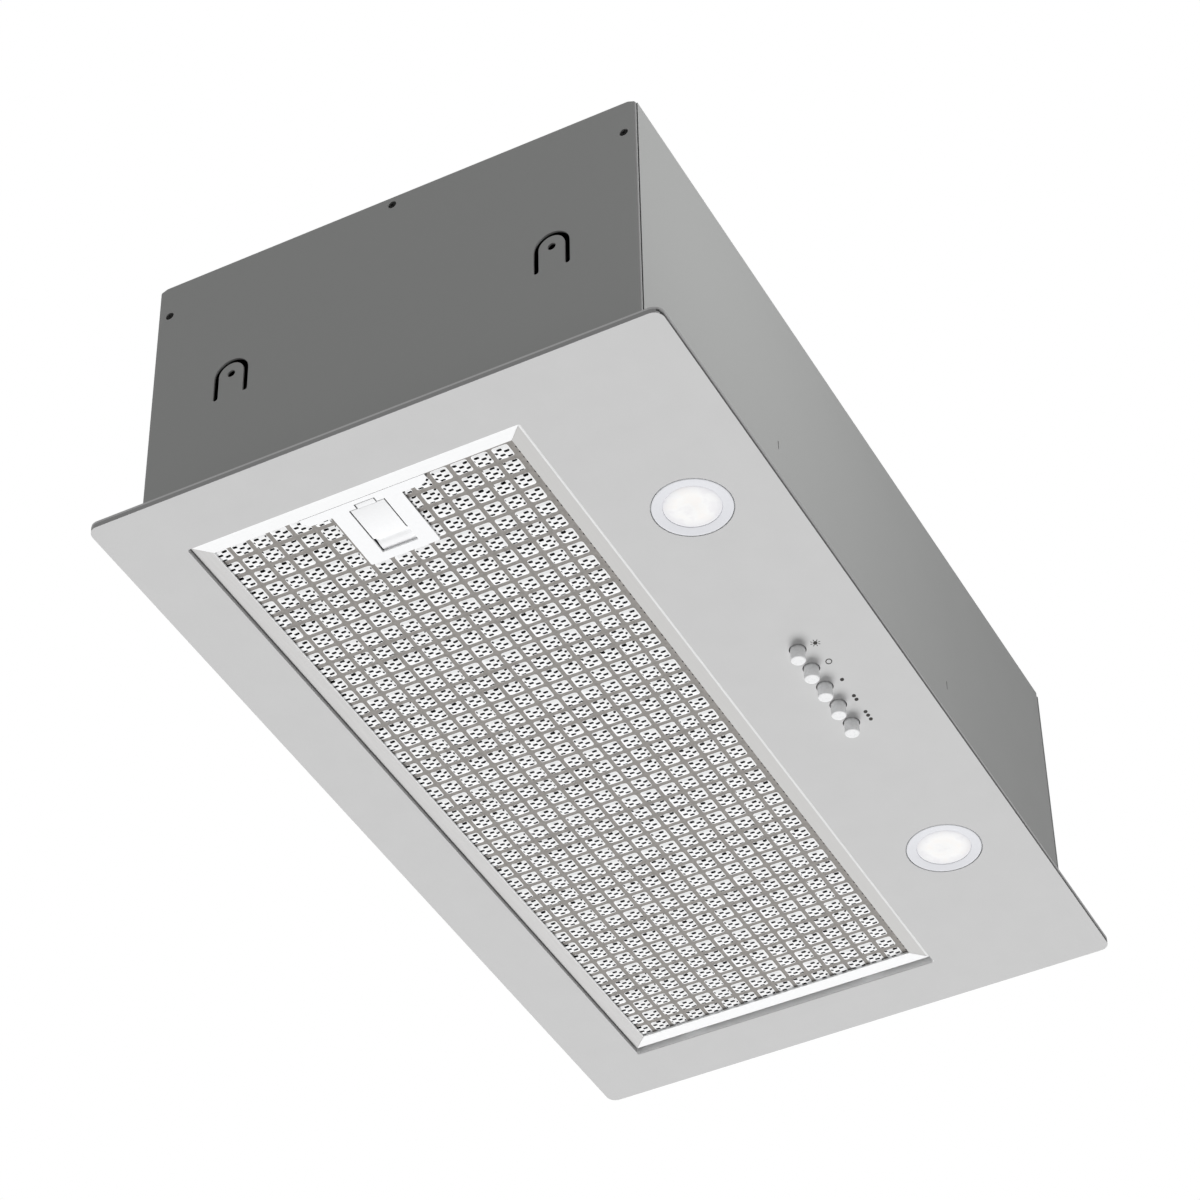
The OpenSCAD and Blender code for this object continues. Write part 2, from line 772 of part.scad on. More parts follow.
// Scroll housing: back plate, spiral rim with screw bosses, and the flange round its mouth
module scroll_housing() {
    flange_z = ceiling_z - scroll_flange_t;
    color("darkslategray") difference() {
        union() {
            along_x(-scroll_x - scroll_t, scroll_x) {
                scroll_outline(scroll_t, flange_z + scroll_flange_t / 2);
                boss_spots() circle(boss_r);
            }
            box(-scroll_flange_half, scroll_flange_half, -scroll_flange_half, scroll_flange_half,
                flange_z, ceiling_z);
        }
        along_x(-scroll_x, scroll_x + over) scroll_outline(0, flange_z - over);
        box(-scroll_x, scroll_x, mouth_rear - mouth_w, mouth_rear, flange_z - 2 * over,
            ceiling_z + over);
        rod_x(shaft_hole_r, back_x - over, -scroll_x + over, [blower_y, blower_z]);
        along_x(scroll_x - blower_screw_l, scroll_x + over)
            boss_spots() circle(blower_screw_r + run_gap);
        for (a = arm_angles) rod_x(blower_screw_r + run_gap, back_x - over, -scroll_x + over,
            round_blower(grommet_circle_r, a));
        for (p = corners(outlet_screw_place, outlet_screw_place))
            translate([p[0], p[1], flange_z - over])
                cylinder(r = outlet_screw_r + run_gap, h = scroll_flange_t + 2 * over);
    }
}

// Inlet cover with the ring that guides air into the impeller
module inlet_cover() {
    top = ceiling_z - scroll_flange_t - seat_gap;
    color("slategray") difference() {
        union() {
            along_x(scroll_x, scroll_x + scroll_t) {
                scroll_outline(scroll_t, top);
                boss_spots() circle(boss_r);
            }
            rod_x(inlet_r + inlet_lip_t, scroll_x - inlet_lip_h, scroll_x + scroll_t,
                [blower_y, blower_z]);
        }
        rod_x(inlet_r, scroll_x - inlet_lip_h - over, scroll_x + scroll_t + over,
            [blower_y, blower_z]);
        along_x(scroll_x - over, scroll_x + scroll_t + over)
            boss_spots() circle(blower_screw_r + screw_gap);
    }
}

// The inlet cover's screws and the motor bracket's screws, all of one size
module blower_screws() {
    cover_x = scroll_x + scroll_t;
    color("dimgray") {
        along_x(cover_x - blower_screw_l, cover_x + blower_head_h) boss_spots() circle(blower_screw_r);
        along_x(cover_x, cover_x + blower_head_h) boss_spots() circle(blower_head_r);
        for (a = arm_angles) {
            at = round_blower(grommet_circle_r, a);
            rod_x(blower_screw_r, motor_x - blower_head_h, -scroll_x, at);
            rod_x(blower_head_r, motor_x - blower_head_h, motor_x, at);
        }
    }
}

// Impeller: back disc, hub, front ring and tilted blades
module impeller() {
    color("gainsboro") translate([0, blower_y, blower_z]) rotate([0, 90, 0]) difference() {
        union() {
            translate([0, 0, -impeller_x]) cylinder(r = impeller_r, h = disc_t);
            translate([0, 0, -impeller_x]) cylinder(r = hub_r, h = hub_l);
            tube(impeller_r, impeller_r - blade_depth, impeller_x - disc_t, impeller_x);
            for (i = [0:blade_count - 1]) rotate([0, 0, i * 360 / blade_count])
                translate([impeller_r - blade_depth / 2 - blade_t / 2, 0, 0]) rotate([0, 0, blade_tilt])
                    cube([blade_depth - blade_t, blade_t, impeller_w - disc_t], center = true);
        }
        translate([0, 0, -impeller_x - over]) cylinder(r = shaft_r + run_gap, h = hub_l + 2 * over);
    }
}

module impeller_nut() {
    z0 = -impeller_x + hub_l;
    color("silver") translate([0, blower_y, blower_z]) rotate([0, 90, 0]) difference() {
        hexagon(shaft_nut_r, z0, z0 + shaft_nut_l);
        translate([0, 0, z0 - over]) cylinder(r = shaft_r + run_gap, h = shaft_nut_l + 2 * over);
    }
}

// Shaft with the rotor's laminated core
module motor_rotor() {
    mid = motor_x - motor_l / 2;
    at = [blower_y, blower_z];
    core_l = stator_l_share * motor_l;
    color("dimgray") {
        rod_x(shaft_r, motor_x - motor_l - shaft_stub,
            -impeller_x + hub_l + shaft_nut_l + shaft_tip, at);
        rod_x(stator_in_r - rotor_gap, mid - core_l / 2, mid + core_l / 2, at);
    }
}

// Motor case: a closed can with a bearing boss in each end
module motor_case() {
    at = [blower_y, blower_z];
    x0 = motor_x - motor_l;
    color("silver") difference() {
        rod_x(motor_r, x0, motor_x, at);
        difference() {
            rod_x(motor_r - motor_t, x0 + motor_t, motor_x - motor_t, at);
            rod_x(bearing_boss_r, x0, x0 + bearing_l, at);
            rod_x(bearing_boss_r, motor_x - bearing_l, motor_x, at);
        }
        rod_x(bearing_r, x0 - over, motor_x + over, at);
    }
}

module motor_bearings() {
    at = [blower_y, blower_z];
    color("peru") for (x = [motor_x - motor_l, motor_x - bearing_l]) difference() {
        rod_x(bearing_r, x, x + bearing_l, at);
        rod_x(shaft_r + run_gap, x - over, x + bearing_l + over, at);
    }
}

// Stator core with the overhang of its windings
module motor_stator() {
    mid = motor_x - motor_l / 2;
    half = stator_l_share * motor_l / 2;
    at = [blower_y, blower_z];
    color("chocolate") difference() {
        union() {
            rod_x(motor_r - motor_t, mid - half, mid + half, at);
            rod_x(winding_r, mid - half - winding_l, mid + half + winding_l, at);
        }
        rod_x(stator_in_r, mid - half - winding_l - over, mid + half + winding_l + over, at);
    }
}

// Three-armed plate between the motor's case and the rubber mounts
module motor_bracket() {
    color("silver") difference() {
        union() {
            rod_x(motor_r, motor_x, bracket_x, [blower_y, blower_z]);
            for (a = arm_angles) {
                translate([motor_x, blower_y, blower_z]) rotate([a, 0, 0])
                    translate([0, 0, -arm_w / 2]) cube([bracket_t, grommet_circle_r, arm_w]);
                rod_x(arm_eye_r, motor_x, bracket_x, round_blower(grommet_circle_r, a));
            }
        }
        rod_x(shaft_hole_r, motor_x - over, bracket_x + over, [blower_y, blower_z]);
        for (a = arm_angles) rod_x(blower_screw_r + screw_gap, motor_x - over, bracket_x + over,
            round_blower(grommet_circle_r, a));
    }
}

module motor_grommets() {
    color("black") for (a = arm_angles) difference() {
        rod_x(grommet_r, bracket_x, back_x, round_blower(grommet_circle_r, a));
        rod_x(blower_screw_r + run_gap, bracket_x - over, back_x + over,
            round_blower(grommet_circle_r, a));
    }
}

// Motor capacitor, hung by the stud in its base
module capacitor() {
    color("whitesmoke") translate([capacitor_place[0], capacitor_place[1], 0]) {
        translate([0, 0, ceiling_z - capacitor_l]) cylinder(r = capacitor_r, h = capacitor_l);
        translate([0, 0, ceiling_z - stud_r]) cylinder(r = stud_r, h = stud_len);
    }
}

module terminal_box() {
    color("white") translate([terminal_place[0], terminal_place[1], ceiling_z - terminal_h])
        linear_extrude(terminal_h) difference() {
            rounded_rect(terminal_l, terminal_w, terminal_t);
            square([terminal_l - 2 * terminal_t, terminal_w - 2 * terminal_t], center = true);
        }
}

module terminal_lid() {
    color("white") translate([terminal_place[0], terminal_place[1], ceiling_z - terminal_h - terminal_t])
        linear_extrude(terminal_t) rounded_rect(terminal_l, terminal_w, terminal_t);
}

// Cable gland through the ceiling, with its locknut inside the terminal box
module cable_gland() {
    place = [terminal_place[0] + gland_offset, terminal_place[1], 0];
    top = case_h + gland_hex_h + gland_dome_h;
    color("dimgray") translate(place) {
        difference() {
            union() {
                hexagon(gland_hex_r, case_h, case_h + gland_hex_h);
                translate([0, 0, case_h]) cylinder(r = gland_dome_r, h = top - case_h);
                translate([0, 0, ceiling_z - gland_tail])
                    cylinder(r = gland_r, h = gland_tail + sheet_t + gland_hex_h / 2);
            }
            translate([0, 0, ceiling_z - gland_tail - over])
                cylinder(r = gland_hole_r, h = top - ceiling_z + gland_tail + 2 * over);
        }
        difference() {
            hexagon(gland_hex_r, ceiling_z - gland_nut_h, ceiling_z);
            translate([0, 0, ceiling_z - gland_nut_h - over])
                cylinder(r = gland_r + run_gap, h = gland_nut_h + 2 * over);
        }
    }
}

module lamp_driver() {
    color("white") translate([driver_place[0], driver_place[1], ceiling_z]) {
        box(-driver_l / 2, driver_l / 2, -driver_w / 2, driver_w / 2, -driver_h, 0);
        box(-driver_l / 2 - driver_foot_l, driver_l / 2 + driver_foot_l, -driver_w / 2,
            driver_w / 2, -driver_foot_t, 0);
    }
}

// Section of the frame's channel: x grows inwards from the outer face, y is the height
module channel_section() {
    polygon([
        [frame_bevel, 0], [frame_face_w, 0], [frame_face_w, frame_t], [frame_t, frame_t],
        [frame_t, filter_h - frame_t], [frame_face_w, filter_h - frame_t],
        [frame_face_w, filter_h], [0, filter_h], [0, frame_bevel]
    ]);
}

// A mitred channel of length l whose outer face lies on y = 0 and whose inside is towards +Y
module channel(l) {
    half = l / 2;
    intersection() {
        rotate([90, 0, 90]) translate([0, 0, -half]) linear_extrude(l) channel_section();
        linear_extrude(filter_h) polygon([
            [-half, 0], [half, 0], [half - frame_face_w, frame_face_w],
            [-half + frame_face_w, frame_face_w]
        ]);
    }
}

// Places the cassette and its latch in the opening, nearer to its left end
module at_filter() {
    translate([filter_shift, 0, 0]) children();
}

module filter_frame_front() {
    color("silver") at_filter() translate([0, opening_y - filter_y, filter_z]) channel(filter_l);
}

module filter_frame_rear() {
    color("silver") at_filter() translate([0, opening_y + filter_y, filter_z]) rotate([0, 0, 180])
        channel(filter_l);
}

// Left profile, with the slot that the latch's nose passes through
module filter_frame_left() {
    color("white") at_filter() difference() {
        translate([-filter_x, opening_y, filter_z]) rotate([0, 0, -90]) channel(filter_w);
        box(-filter_x - over, -filter_x + frame_t + over, opening_y - nose_w / 2 - slot_gap,
            opening_y + nose_w / 2 + slot_gap, nose_z - seat_gap / 3, nose_z + nose_t + slot_gap);
    }
}

// Right profile, with the two ears that hang in the opening's notches
module filter_frame_right() {
    color("white") at_filter() {
        translate([filter_x, opening_y, filter_z]) rotate([0, 0, 90]) channel(filter_w);
        for (s = [-1, 1]) {
            y = opening_y + s * ear_offset_share * opening_w;
            box(filter_x - frame_t, filter_x + ear_l, y - ear_w / 2, y + ear_w / 2,
                filter_z + ear_rise, filter_z + ear_rise + frame_t);
        }
    }
}

// Clears the latch's tray out of a mesh, between two levels
module latch_pocket(z0, z1) {
    box(-filter_x, tray_x1 + mesh_gap, opening_y - tray_half - mesh_gap,
        opening_y + tray_half + mesh_gap, z0 - over, z1 + over);
}

// Face mesh: a sheet with crossing grooves that leave a grid of raised pads
module filter_face_mesh() {
    cols = floor(window_x / pillow_pitch_x);
    rows = floor(window_y / pillow_pitch_y);
    color("gainsboro") at_filter() difference() {
        box(-mesh_x, mesh_x, opening_y - mesh_y, opening_y + mesh_y, mesh_z, mesh_z + mesh_t);
        for (i = [-cols:cols]) let (x = column_shift + i * pillow_pitch_x)
            box(x - groove_x / 2, x + groove_x / 2, opening_y - window_y, opening_y + window_y,
                mesh_z - over, mesh_z + groove_depth);
        for (j = [-rows:rows]) let (y = opening_y + row_shift + j * pillow_pitch_y)
            box(-window_x, window_x, y - groove_y / 2, y + groove_y / 2, mesh_z - over,
                mesh_z + groove_depth);
        latch_pocket(mesh_z, mesh_z + mesh_t);
    }
}

// Core mesh: a zigzag sheet between the face and back meshes
module filter_core_mesh() {
    folds = floor(2 * mesh_x / core_pitch);
    half = folds * core_pitch / 2;
    rise = core_h - core_t;
    low = [for (i = [0:2 * folds]) [i * core_pitch / 2 - half, core_z + (i % 2) * rise]];
    high = [for (i = [0:2 * folds]) [low[2 * folds - i][0], low[2 * folds - i][1] + core_t]];
    color("gray") at_filter() difference() {
        translate([0, opening_y + mesh_y, 0]) rotate([90, 0, 0]) linear_extrude(2 * mesh_y)
            polygon(concat(low, high));
        latch_pocket(core_z, back_z);
    }
}

module filter_back_mesh() {
    color("gray") at_filter() box(-mesh_x, mesh_x, opening_y - mesh_y, opening_y + mesh_y, back_z,
        back_z + back_t);
}

// Outline of the latch plate from above: a bar at the frame with the plate standing on it
module latch_outline() {
    bar = latch_bar_l / 2;
    polygon([
        [0, -bar], [latch_bar_w / 2, -bar], [latch_bar_w, -bar + bar_chamfer],
        [latch_bar_w, bar - bar_chamfer], [latch_bar_w / 2, bar], [0, bar]
    ]);
    translate([0, -latch_w / 2]) square([latch_l - latch_r, latch_w]);
    translate([0, -latch_w / 2 + latch_r]) square([latch_l, latch_w - 2 * latch_r]);
    for (s = [-1, 1]) translate([latch_l - latch_r, s * (latch_w / 2 - latch_r)]) circle(latch_r);
}

module latch_plate() {
    window_l = pad_l + scoop_l;
    color("white") at_filter() translate([latch_x, opening_y, filter_z]) linear_extrude(latch_t)
    difference() {
        latch_outline();
        translate([latch_bar_w - slot_gap, -pad_w / 2 - slot_gap])
            square([window_l + 2 * slot_gap, pad_w + 2 * slot_gap]);
        translate([latch_bar_w - tab_l - slot_gap, -nose_w / 2 - slot_gap])
            square([tab_l + 2 * slot_gap, nose_w + 2 * slot_gap]);
    }
}

// Slider: nose, tab and pad in one strip, then the scoop that runs on under the plate
module latch_slider() {
    y = opening_y;
    color("whitesmoke") at_filter() {
        box(nose_tip, pad_x + tab_l, y - nose_w / 2, y + nose_w / 2, nose_z, nose_z + nose_t);
        box(pad_x - tab_l, pad_x + tab_l, y - nose_w / 2, y + nose_w / 2, filter_z + pad_drop,
            nose_z + nose_t);
        box(pad_x, pad_end, y - pad_w / 2, y + pad_w / 2, filter_z + pad_drop,
            filter_z + pad_drop + pad_t);
        box(pad_end - over, slider_end, y - pad_w / 2, y + pad_w / 2, scoop_z, scoop_z + scoop_t);
        box(pad_end - lug_l, pad_end, y - lug_w / 2, y + lug_w / 2, scoop_z, tray_top - tray_t - tray_gap);
    }
}

// Compression spring of the latch, drawn as the sleeve that its coil fills
module latch_spring() {
    z = (scoop_z + scoop_t + tray_top - tray_t) / 2;
    color("silver") at_filter() difference() {
        rod_x(spring_r, pad_end, tray_x1 - tray_t, [opening_y, z]);
        rod_x(spring_hole_r, pad_end - over, tray_x1 - tray_t + over, [opening_y, z]);
    }
}

// Tray that guides the slider and closes the latch off from the mesh
module latch_tray() {
    color("lightgray") at_filter() difference() {
        box(tray_x0, tray_x1, opening_y - tray_half, opening_y + tray_half, mesh_z, tray_top);
        box(tray_x0 - over, tray_x1 - tray_t, opening_y - tray_half + tray_t,
            opening_y + tray_half - tray_t, mesh_z - over, tray_top - tray_t);
    }
}

module at_lamp(side) {
    translate([side * lamp_x, -control_y, 0]) children();
}

// Lamp ring: its face slopes in to the lens, and its tube fits the cup
module lamp_ring(side) {
    color("white") at_lamp(side) rotate_extrude() polygon([
        [lamp_r, panel_z], [lamp_r - lens_edge, panel_z], [lens_r, panel_z + ring_slope],
        [lens_r, ring_ledge_z], [ring_tube_r - ring_tube_t, ring_ledge_z],
        [ring_tube_r - ring_tube_t, ring_top], [ring_tube_r, ring_top], [ring_tube_r, plate_z],
        [lamp_r, plate_z]
    ]);
}

module lamp_lens(side) {
    rest_r = ring_tube_r - ring_tube_t - seat_gap / 3;
    face_r = lens_r - seat_gap / 3;
    low = ring_ledge_z - lens_drop;
    color("lightyellow") at_lamp(side) rotate_extrude() polygon([
        [0, low], [face_r - lens_edge, low], [face_r, low + lens_edge], [face_r, ring_ledge_z],
        [rest_r, ring_ledge_z], [rest_r, ring_ledge_z + lens_t], [0, ring_ledge_z + lens_t]
    ]);
}

module lamp_board(side) {
    color("khaki") at_lamp(side) {
        translate([0, 0, board_z]) cylinder(r = board_r, h = board_t);
        for (i = [0:led_count - 1]) rotate([0, 0, i * 360 / led_count])
            translate([led_circle_r, 0, board_z]) cube([led_w, led_w, 2 * led_h], center = true);
    }
}

module lamp_cup(side) {
    ledge_z = board_z + board_t;
    color("silver") at_lamp(side) {
        difference() {
            translate([0, 0, plate_z]) cylinder(r = cup_in_r + cup_t, h = cup_top - plate_z);
            translate([0, 0, plate_z - over])
                cylinder(r = cup_in_r, h = ledge_z - plate_z + over);
            translate([0, 0, plate_z]) cylinder(r = cup_in_r - cup_ledge_w, h = cup_top - plate_z - cup_t);
        }
        tube(cup_flange_r, cup_in_r, plate_z, plate_z + cup_flange_t);
    }
}

// Housing of the five buttons: a guide hole and a pocket for each
module switch_housing() {
    half_l = 2 * button_pitch + housing_side;
    color("white") difference() {
        box(-half_l, half_l, -control_y - housing_half_w, -control_y + housing_half_w, plate_z,
            housing_top);
        for (x = button_places) translate([x, -control_y, 0]) {
            translate([0, 0, plate_z - over]) cylinder(r = button_r + guide_gap, h = housing_floor + 2 * over);
            translate([0, 0, plate_z + housing_floor])
                cylinder(r = button_r + shoulder_w + pocket_gap, h = housing_top);
        }
    }
}

// Lid of the housing, with two contact blades for each button
module switch_lid() {
    half_l = 2 * button_pitch + housing_side;
    color("dimgray") {
        box(-half_l, half_l, -control_y - housing_half_w, -control_y + housing_half_w, housing_top,
            housing_top + lid_t);
        for (x = button_places, s = [-1, 1]) translate([x, -control_y + s * blade_row, 0])
            box(-blade_w / 2, blade_w / 2, -blade_thick / 2, blade_thick / 2,
                housing_top + lid_t / 2, housing_top + lid_t + blade_h);
    }
}

// A push button in place number i, from 0 at the left
module button(i) {
    low = panel_z - button_reach;
    stem_z = shoulder_z + shoulder_h;
    color("white") translate([button_places[i], -control_y, 0]) rotate_extrude() polygon([
        [0, low], [button_r - button_chamfer, low], [button_r, low + button_chamfer],
        [button_r, shoulder_z], [button_r + shoulder_w, shoulder_z],
        [button_r + shoulder_w, stem_z], [stem_r, stem_z], [stem_r, stem_z + stem_l],
        [0, stem_z + stem_l]
    ]);
}

// Return spring of button number i, drawn as the sleeve that its coil fills
module button_spring(i) {
    in_r = stem_r + stem_gap;
    color("silver") translate([button_places[i], -control_y, 0])
        tube(in_r + spring_wall, in_r, shoulder_z + shoulder_h, housing_top);
}

module lamp_ring_left() { lamp_ring(-1); }
module lamp_ring_right() { lamp_ring(1); }
module lamp_lens_left() { lamp_lens(-1); }
module lamp_lens_right() { lamp_lens(1); }
module lamp_board_left() { lamp_board(-1); }
module lamp_board_right() { lamp_board(1); }
module lamp_cup_left() { lamp_cup(-1); }
module lamp_cup_right() { lamp_cup(1); }
module button_light() { button(0); }
module button_off() { button(1); }
module button_low() { button(2); }
module button_medium() { button(3); }
module button_high() { button(4); }
module spring_light() { button_spring(0); }
module spring_off() { button_spring(1); }
module spring_low() { button_spring(2); }
module spring_medium() { button_spring(3); }
module spring_high() { button_spring(4); }

face_panel();
panel_nuts();
end_wall_left();
end_wall_right();
front_wall();
rear_wall();
top_plate();
wall_screws();
outlet_collar();
outlet_screws();
flap_pin();
flap_front();
flap_rear();
scroll_housing();
inlet_cover();
blower_screws();
impeller();
impeller_nut();
motor_rotor();
motor_case();
motor_stator();
motor_bearings();
motor_bracket();
motor_grommets();
capacitor();
terminal_box();
terminal_lid();
cable_gland();
lamp_driver();
filter_frame_front();
filter_frame_rear();
filter_frame_left();
filter_frame_right();
filter_face_mesh();
filter_core_mesh();
filter_back_mesh();
latch_plate();
latch_slider();
latch_spring();
latch_tray();
lamp_ring_left();
lamp_ring_right();
lamp_lens_left();
lamp_lens_right();
lamp_board_left();
lamp_board_right();
lamp_cup_left();
lamp_cup_right();
switch_housing();
switch_lid();
button_light();
button_off();
button_low();
button_medium();
button_high();
spring_light();
spring_off();
spring_low();
spring_medium();
spring_high();
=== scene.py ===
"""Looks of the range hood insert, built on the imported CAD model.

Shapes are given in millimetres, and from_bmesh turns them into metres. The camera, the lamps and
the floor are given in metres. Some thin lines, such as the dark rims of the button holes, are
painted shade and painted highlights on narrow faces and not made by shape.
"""

import json
import math

import bmesh
import bpy
from mathutils import Matrix, Vector
from mathutils.geometry import delaunay_2d_cdt

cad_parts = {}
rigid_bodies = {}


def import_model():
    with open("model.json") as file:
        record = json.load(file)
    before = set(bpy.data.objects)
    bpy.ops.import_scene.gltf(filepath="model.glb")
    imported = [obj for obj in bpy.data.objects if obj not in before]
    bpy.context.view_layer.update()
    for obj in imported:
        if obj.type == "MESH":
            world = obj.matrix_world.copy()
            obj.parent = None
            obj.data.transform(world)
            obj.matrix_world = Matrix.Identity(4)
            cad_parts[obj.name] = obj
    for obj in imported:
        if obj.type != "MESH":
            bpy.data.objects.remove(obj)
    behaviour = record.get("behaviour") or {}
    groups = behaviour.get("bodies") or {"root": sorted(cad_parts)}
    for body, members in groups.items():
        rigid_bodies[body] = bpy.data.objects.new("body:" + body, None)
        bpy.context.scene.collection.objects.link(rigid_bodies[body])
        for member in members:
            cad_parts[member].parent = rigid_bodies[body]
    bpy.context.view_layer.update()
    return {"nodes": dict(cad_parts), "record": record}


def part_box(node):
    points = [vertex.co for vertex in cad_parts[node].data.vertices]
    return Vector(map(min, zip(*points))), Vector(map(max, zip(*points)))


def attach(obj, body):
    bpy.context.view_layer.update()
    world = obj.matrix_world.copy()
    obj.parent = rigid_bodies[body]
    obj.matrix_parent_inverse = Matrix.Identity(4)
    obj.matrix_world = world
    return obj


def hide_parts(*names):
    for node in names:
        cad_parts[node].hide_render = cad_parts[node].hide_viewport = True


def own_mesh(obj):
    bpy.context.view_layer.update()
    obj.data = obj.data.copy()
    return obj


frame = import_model()
NODES = frame["nodes"]
BODY_OF = {n: b for b, members in frame["record"]["behaviour"]["bodies"].items() for n in members}
SLOT_OF = {s["node"]: s["material_slot"] for s in frame["record"]["subparts"]}
MM = 0.001

# Sizes that part.scad also holds
PANEL_Z = -3.5
WALL_X = 229.25
LAMP_X, CONTROL_Y = 134.4, -98.0
BUTTON_X = {"light": -28.8, "off": -14.4, "low": 0.0, "medium": 14.4, "high": 28.8}
OPENING_Y = 24.95
FILTER_X, FILTER_Z = -1.05, -2.0

# Face mesh of the filter: the grid of its pads, the grooves between them, and the slots in the pads
PAD_PITCH_X, PAD_PITCH_Y, COLUMN_SHIFT, ROW_SHIFT = 9.83, 9.88, 1.24, -2.0
SKEW = -0.0102
GROOVE_X, GROOVE_Y = 2.05, 2.0
MESH_Z, GROOVE_Z, BULGE = -1.0, -0.6, 0.16
PAD_R, SLOPE_W = 1.2, 1.3
SLOT_PX, SLOT_PY = 3.42, 2.71
SLOT_W, SLOT_L, SLOT_TIP = 1.25, 2.6, 0.35
LEAST_SLOT_W, LEAST_SLOT_L, SLOT_MARGIN = 0.55, 0.7, 0.2
SHEET_T = 0.35
# painted shade reaches this far onto the edges of the pads
SHADED_PAD_EDGE = 0.12

# Where the face mesh ends: at the filter's edges, and at the latch's plate, whose rear edge crosses
# one row of pads
MESH_X0, MESH_X1, MESH_Y0 = -207.6, 206.8, -54.9
# painted shade covers the mesh in front of this
SHADED_FRONT_Y = -46.9
LATCH_X, LATCH_Y0, LATCH_Y1 = -166.55, 12.8, 35.2
CROSSED_Y0, CROSSED_Y1 = 32.6, 42.6

# On the panel: a box round the opening that leaves out its left side, boxes round its right and
# front sides, places near the outer edges, and half the size of the strip with the button holes
HOLE_X0, HOLE_X1, HOLE_Y0, HOLE_Y1 = -213, 216, -60, 110
RIGHT_SIDE_X0, RIGHT_SIDE_X1 = 210, 218
FRONT_SIDE_X, FRONT_SIDE_Y, FRONT_SIDE_TOP = 215, -55, -1.5
EDGE_X, EDGE_Y, DARK_EDGE_X = 245, 137.5, 245.4
RIM_TOP, DARK_TOP = -1.1, -2.0
STRIP_X, STRIP_Y = 33.6, 4.6

# Where the walls' ends start, and where painted shade and painted highlights begin on other pieces
WALL_END_X, WALL_SEAM_X, BEND_Y = 226, 226.7, 120.5
LATCH_SEAM_X, LATCH_END_X = -181.4, -204
FRONT_HIGHLIGHT_Y, REAR_HIGHLIGHT_Y0, REAR_HIGHLIGHT_Y1 = -55.2, 98, 99.6

NOISE_SCALE, ROUGH_SPREAD, BUMP_DEPTH_M = 100, 0.06, 0.0001


def feed(nt, node, inputs):
    """Gives a shader node's inputs their values, or the sockets that feed them."""
    for key, v in inputs.items():
        if isinstance(v, bpy.types.NodeSocket):
            nt.links.new(v, node.inputs[key])
        else:
            node.inputs[key].default_value = v


def shader(nt, kind, inputs=None, **settings):
    """Adds a shader node with its settings and inputs."""
    node = nt.nodes.new("ShaderNode" + kind)
    for key, v in settings.items():
        setattr(node, key, v)
    feed(nt, node, inputs or {})
    return node


def maths(nt, operation, *values):
    """The outcome of an operation on numbers or sockets."""
    return shader(nt, "Math", dict(enumerate(values)), operation=operation).outputs[0]


def colour_ramp(nt, factor, stops):
    """The colour that factor picks between stops of place and colour."""
    ramp = shader(nt, "ValToRGB", {"Fac": factor})
    while len(ramp.color_ramp.elements) < len(stops):
        ramp.color_ramp.elements.new(0.5)
    for e, (place, colour) in zip(ramp.color_ramp.elements, stops):
        e.position = place
        e.color = [*colour, 1]
    return ramp.outputs["Color"]


def new_material(name):
    """A new material, its node tree and its Principled node."""
    m = bpy.data.materials.new(name)
    m.use_nodes = True
    return m, m.node_tree, m.node_tree.nodes["Principled BSDF"]


def material(name, colour, rough, metallic=0.0, spread=0.04, grain=(600, 600, 600), bump=0.0,
             bump_scale=900, specular=0.5, coat=0.0):
    """A Principled material whose colour, roughness and bump vary with noise."""
    m, nt, bsdf = new_material(name)
    place = shader(nt, "TexCoord").outputs["Object"]
    scaled = shader(nt, "Mapping", {"Vector": place, "Scale": [g / NOISE_SCALE for g in grain]})
    noise = shader(nt, "TexNoise", {"Vector": scaled.outputs["Vector"], "Scale": NOISE_SCALE,
                                    "Detail": 4}).outputs["Fac"]
    dark, bright = [c * (1 - spread) for c in colour], [min(1, c * (1 + spread)) for c in colour]
    roughness = shader(nt, "MapRange", {"Value": noise, "To Min": rough - ROUGH_SPREAD,
                                        "To Max": rough + ROUGH_SPREAD})
    feed(nt, bsdf, {"Base Color": colour_ramp(nt, noise, [(0.3, dark), (0.7, bright)]),
                    "Roughness": roughness.outputs["Result"], "Metallic": metallic,
                    "Specular IOR Level": specular, "Coat Weight": coat})
    if bump:
        fine = shader(nt, "TexNoise", {"Vector": place, "Scale": bump_scale, "Detail": 3})
        bumper = shader(nt, "Bump", {"Height": fine.outputs["Fac"], "Strength": bump,
                                     "Distance": BUMP_DEPTH_M})
        feed(nt, bsdf, {"Normal": bumper.outputs["Normal"]})
    return m


def grey(v):
    return (v, v, v)


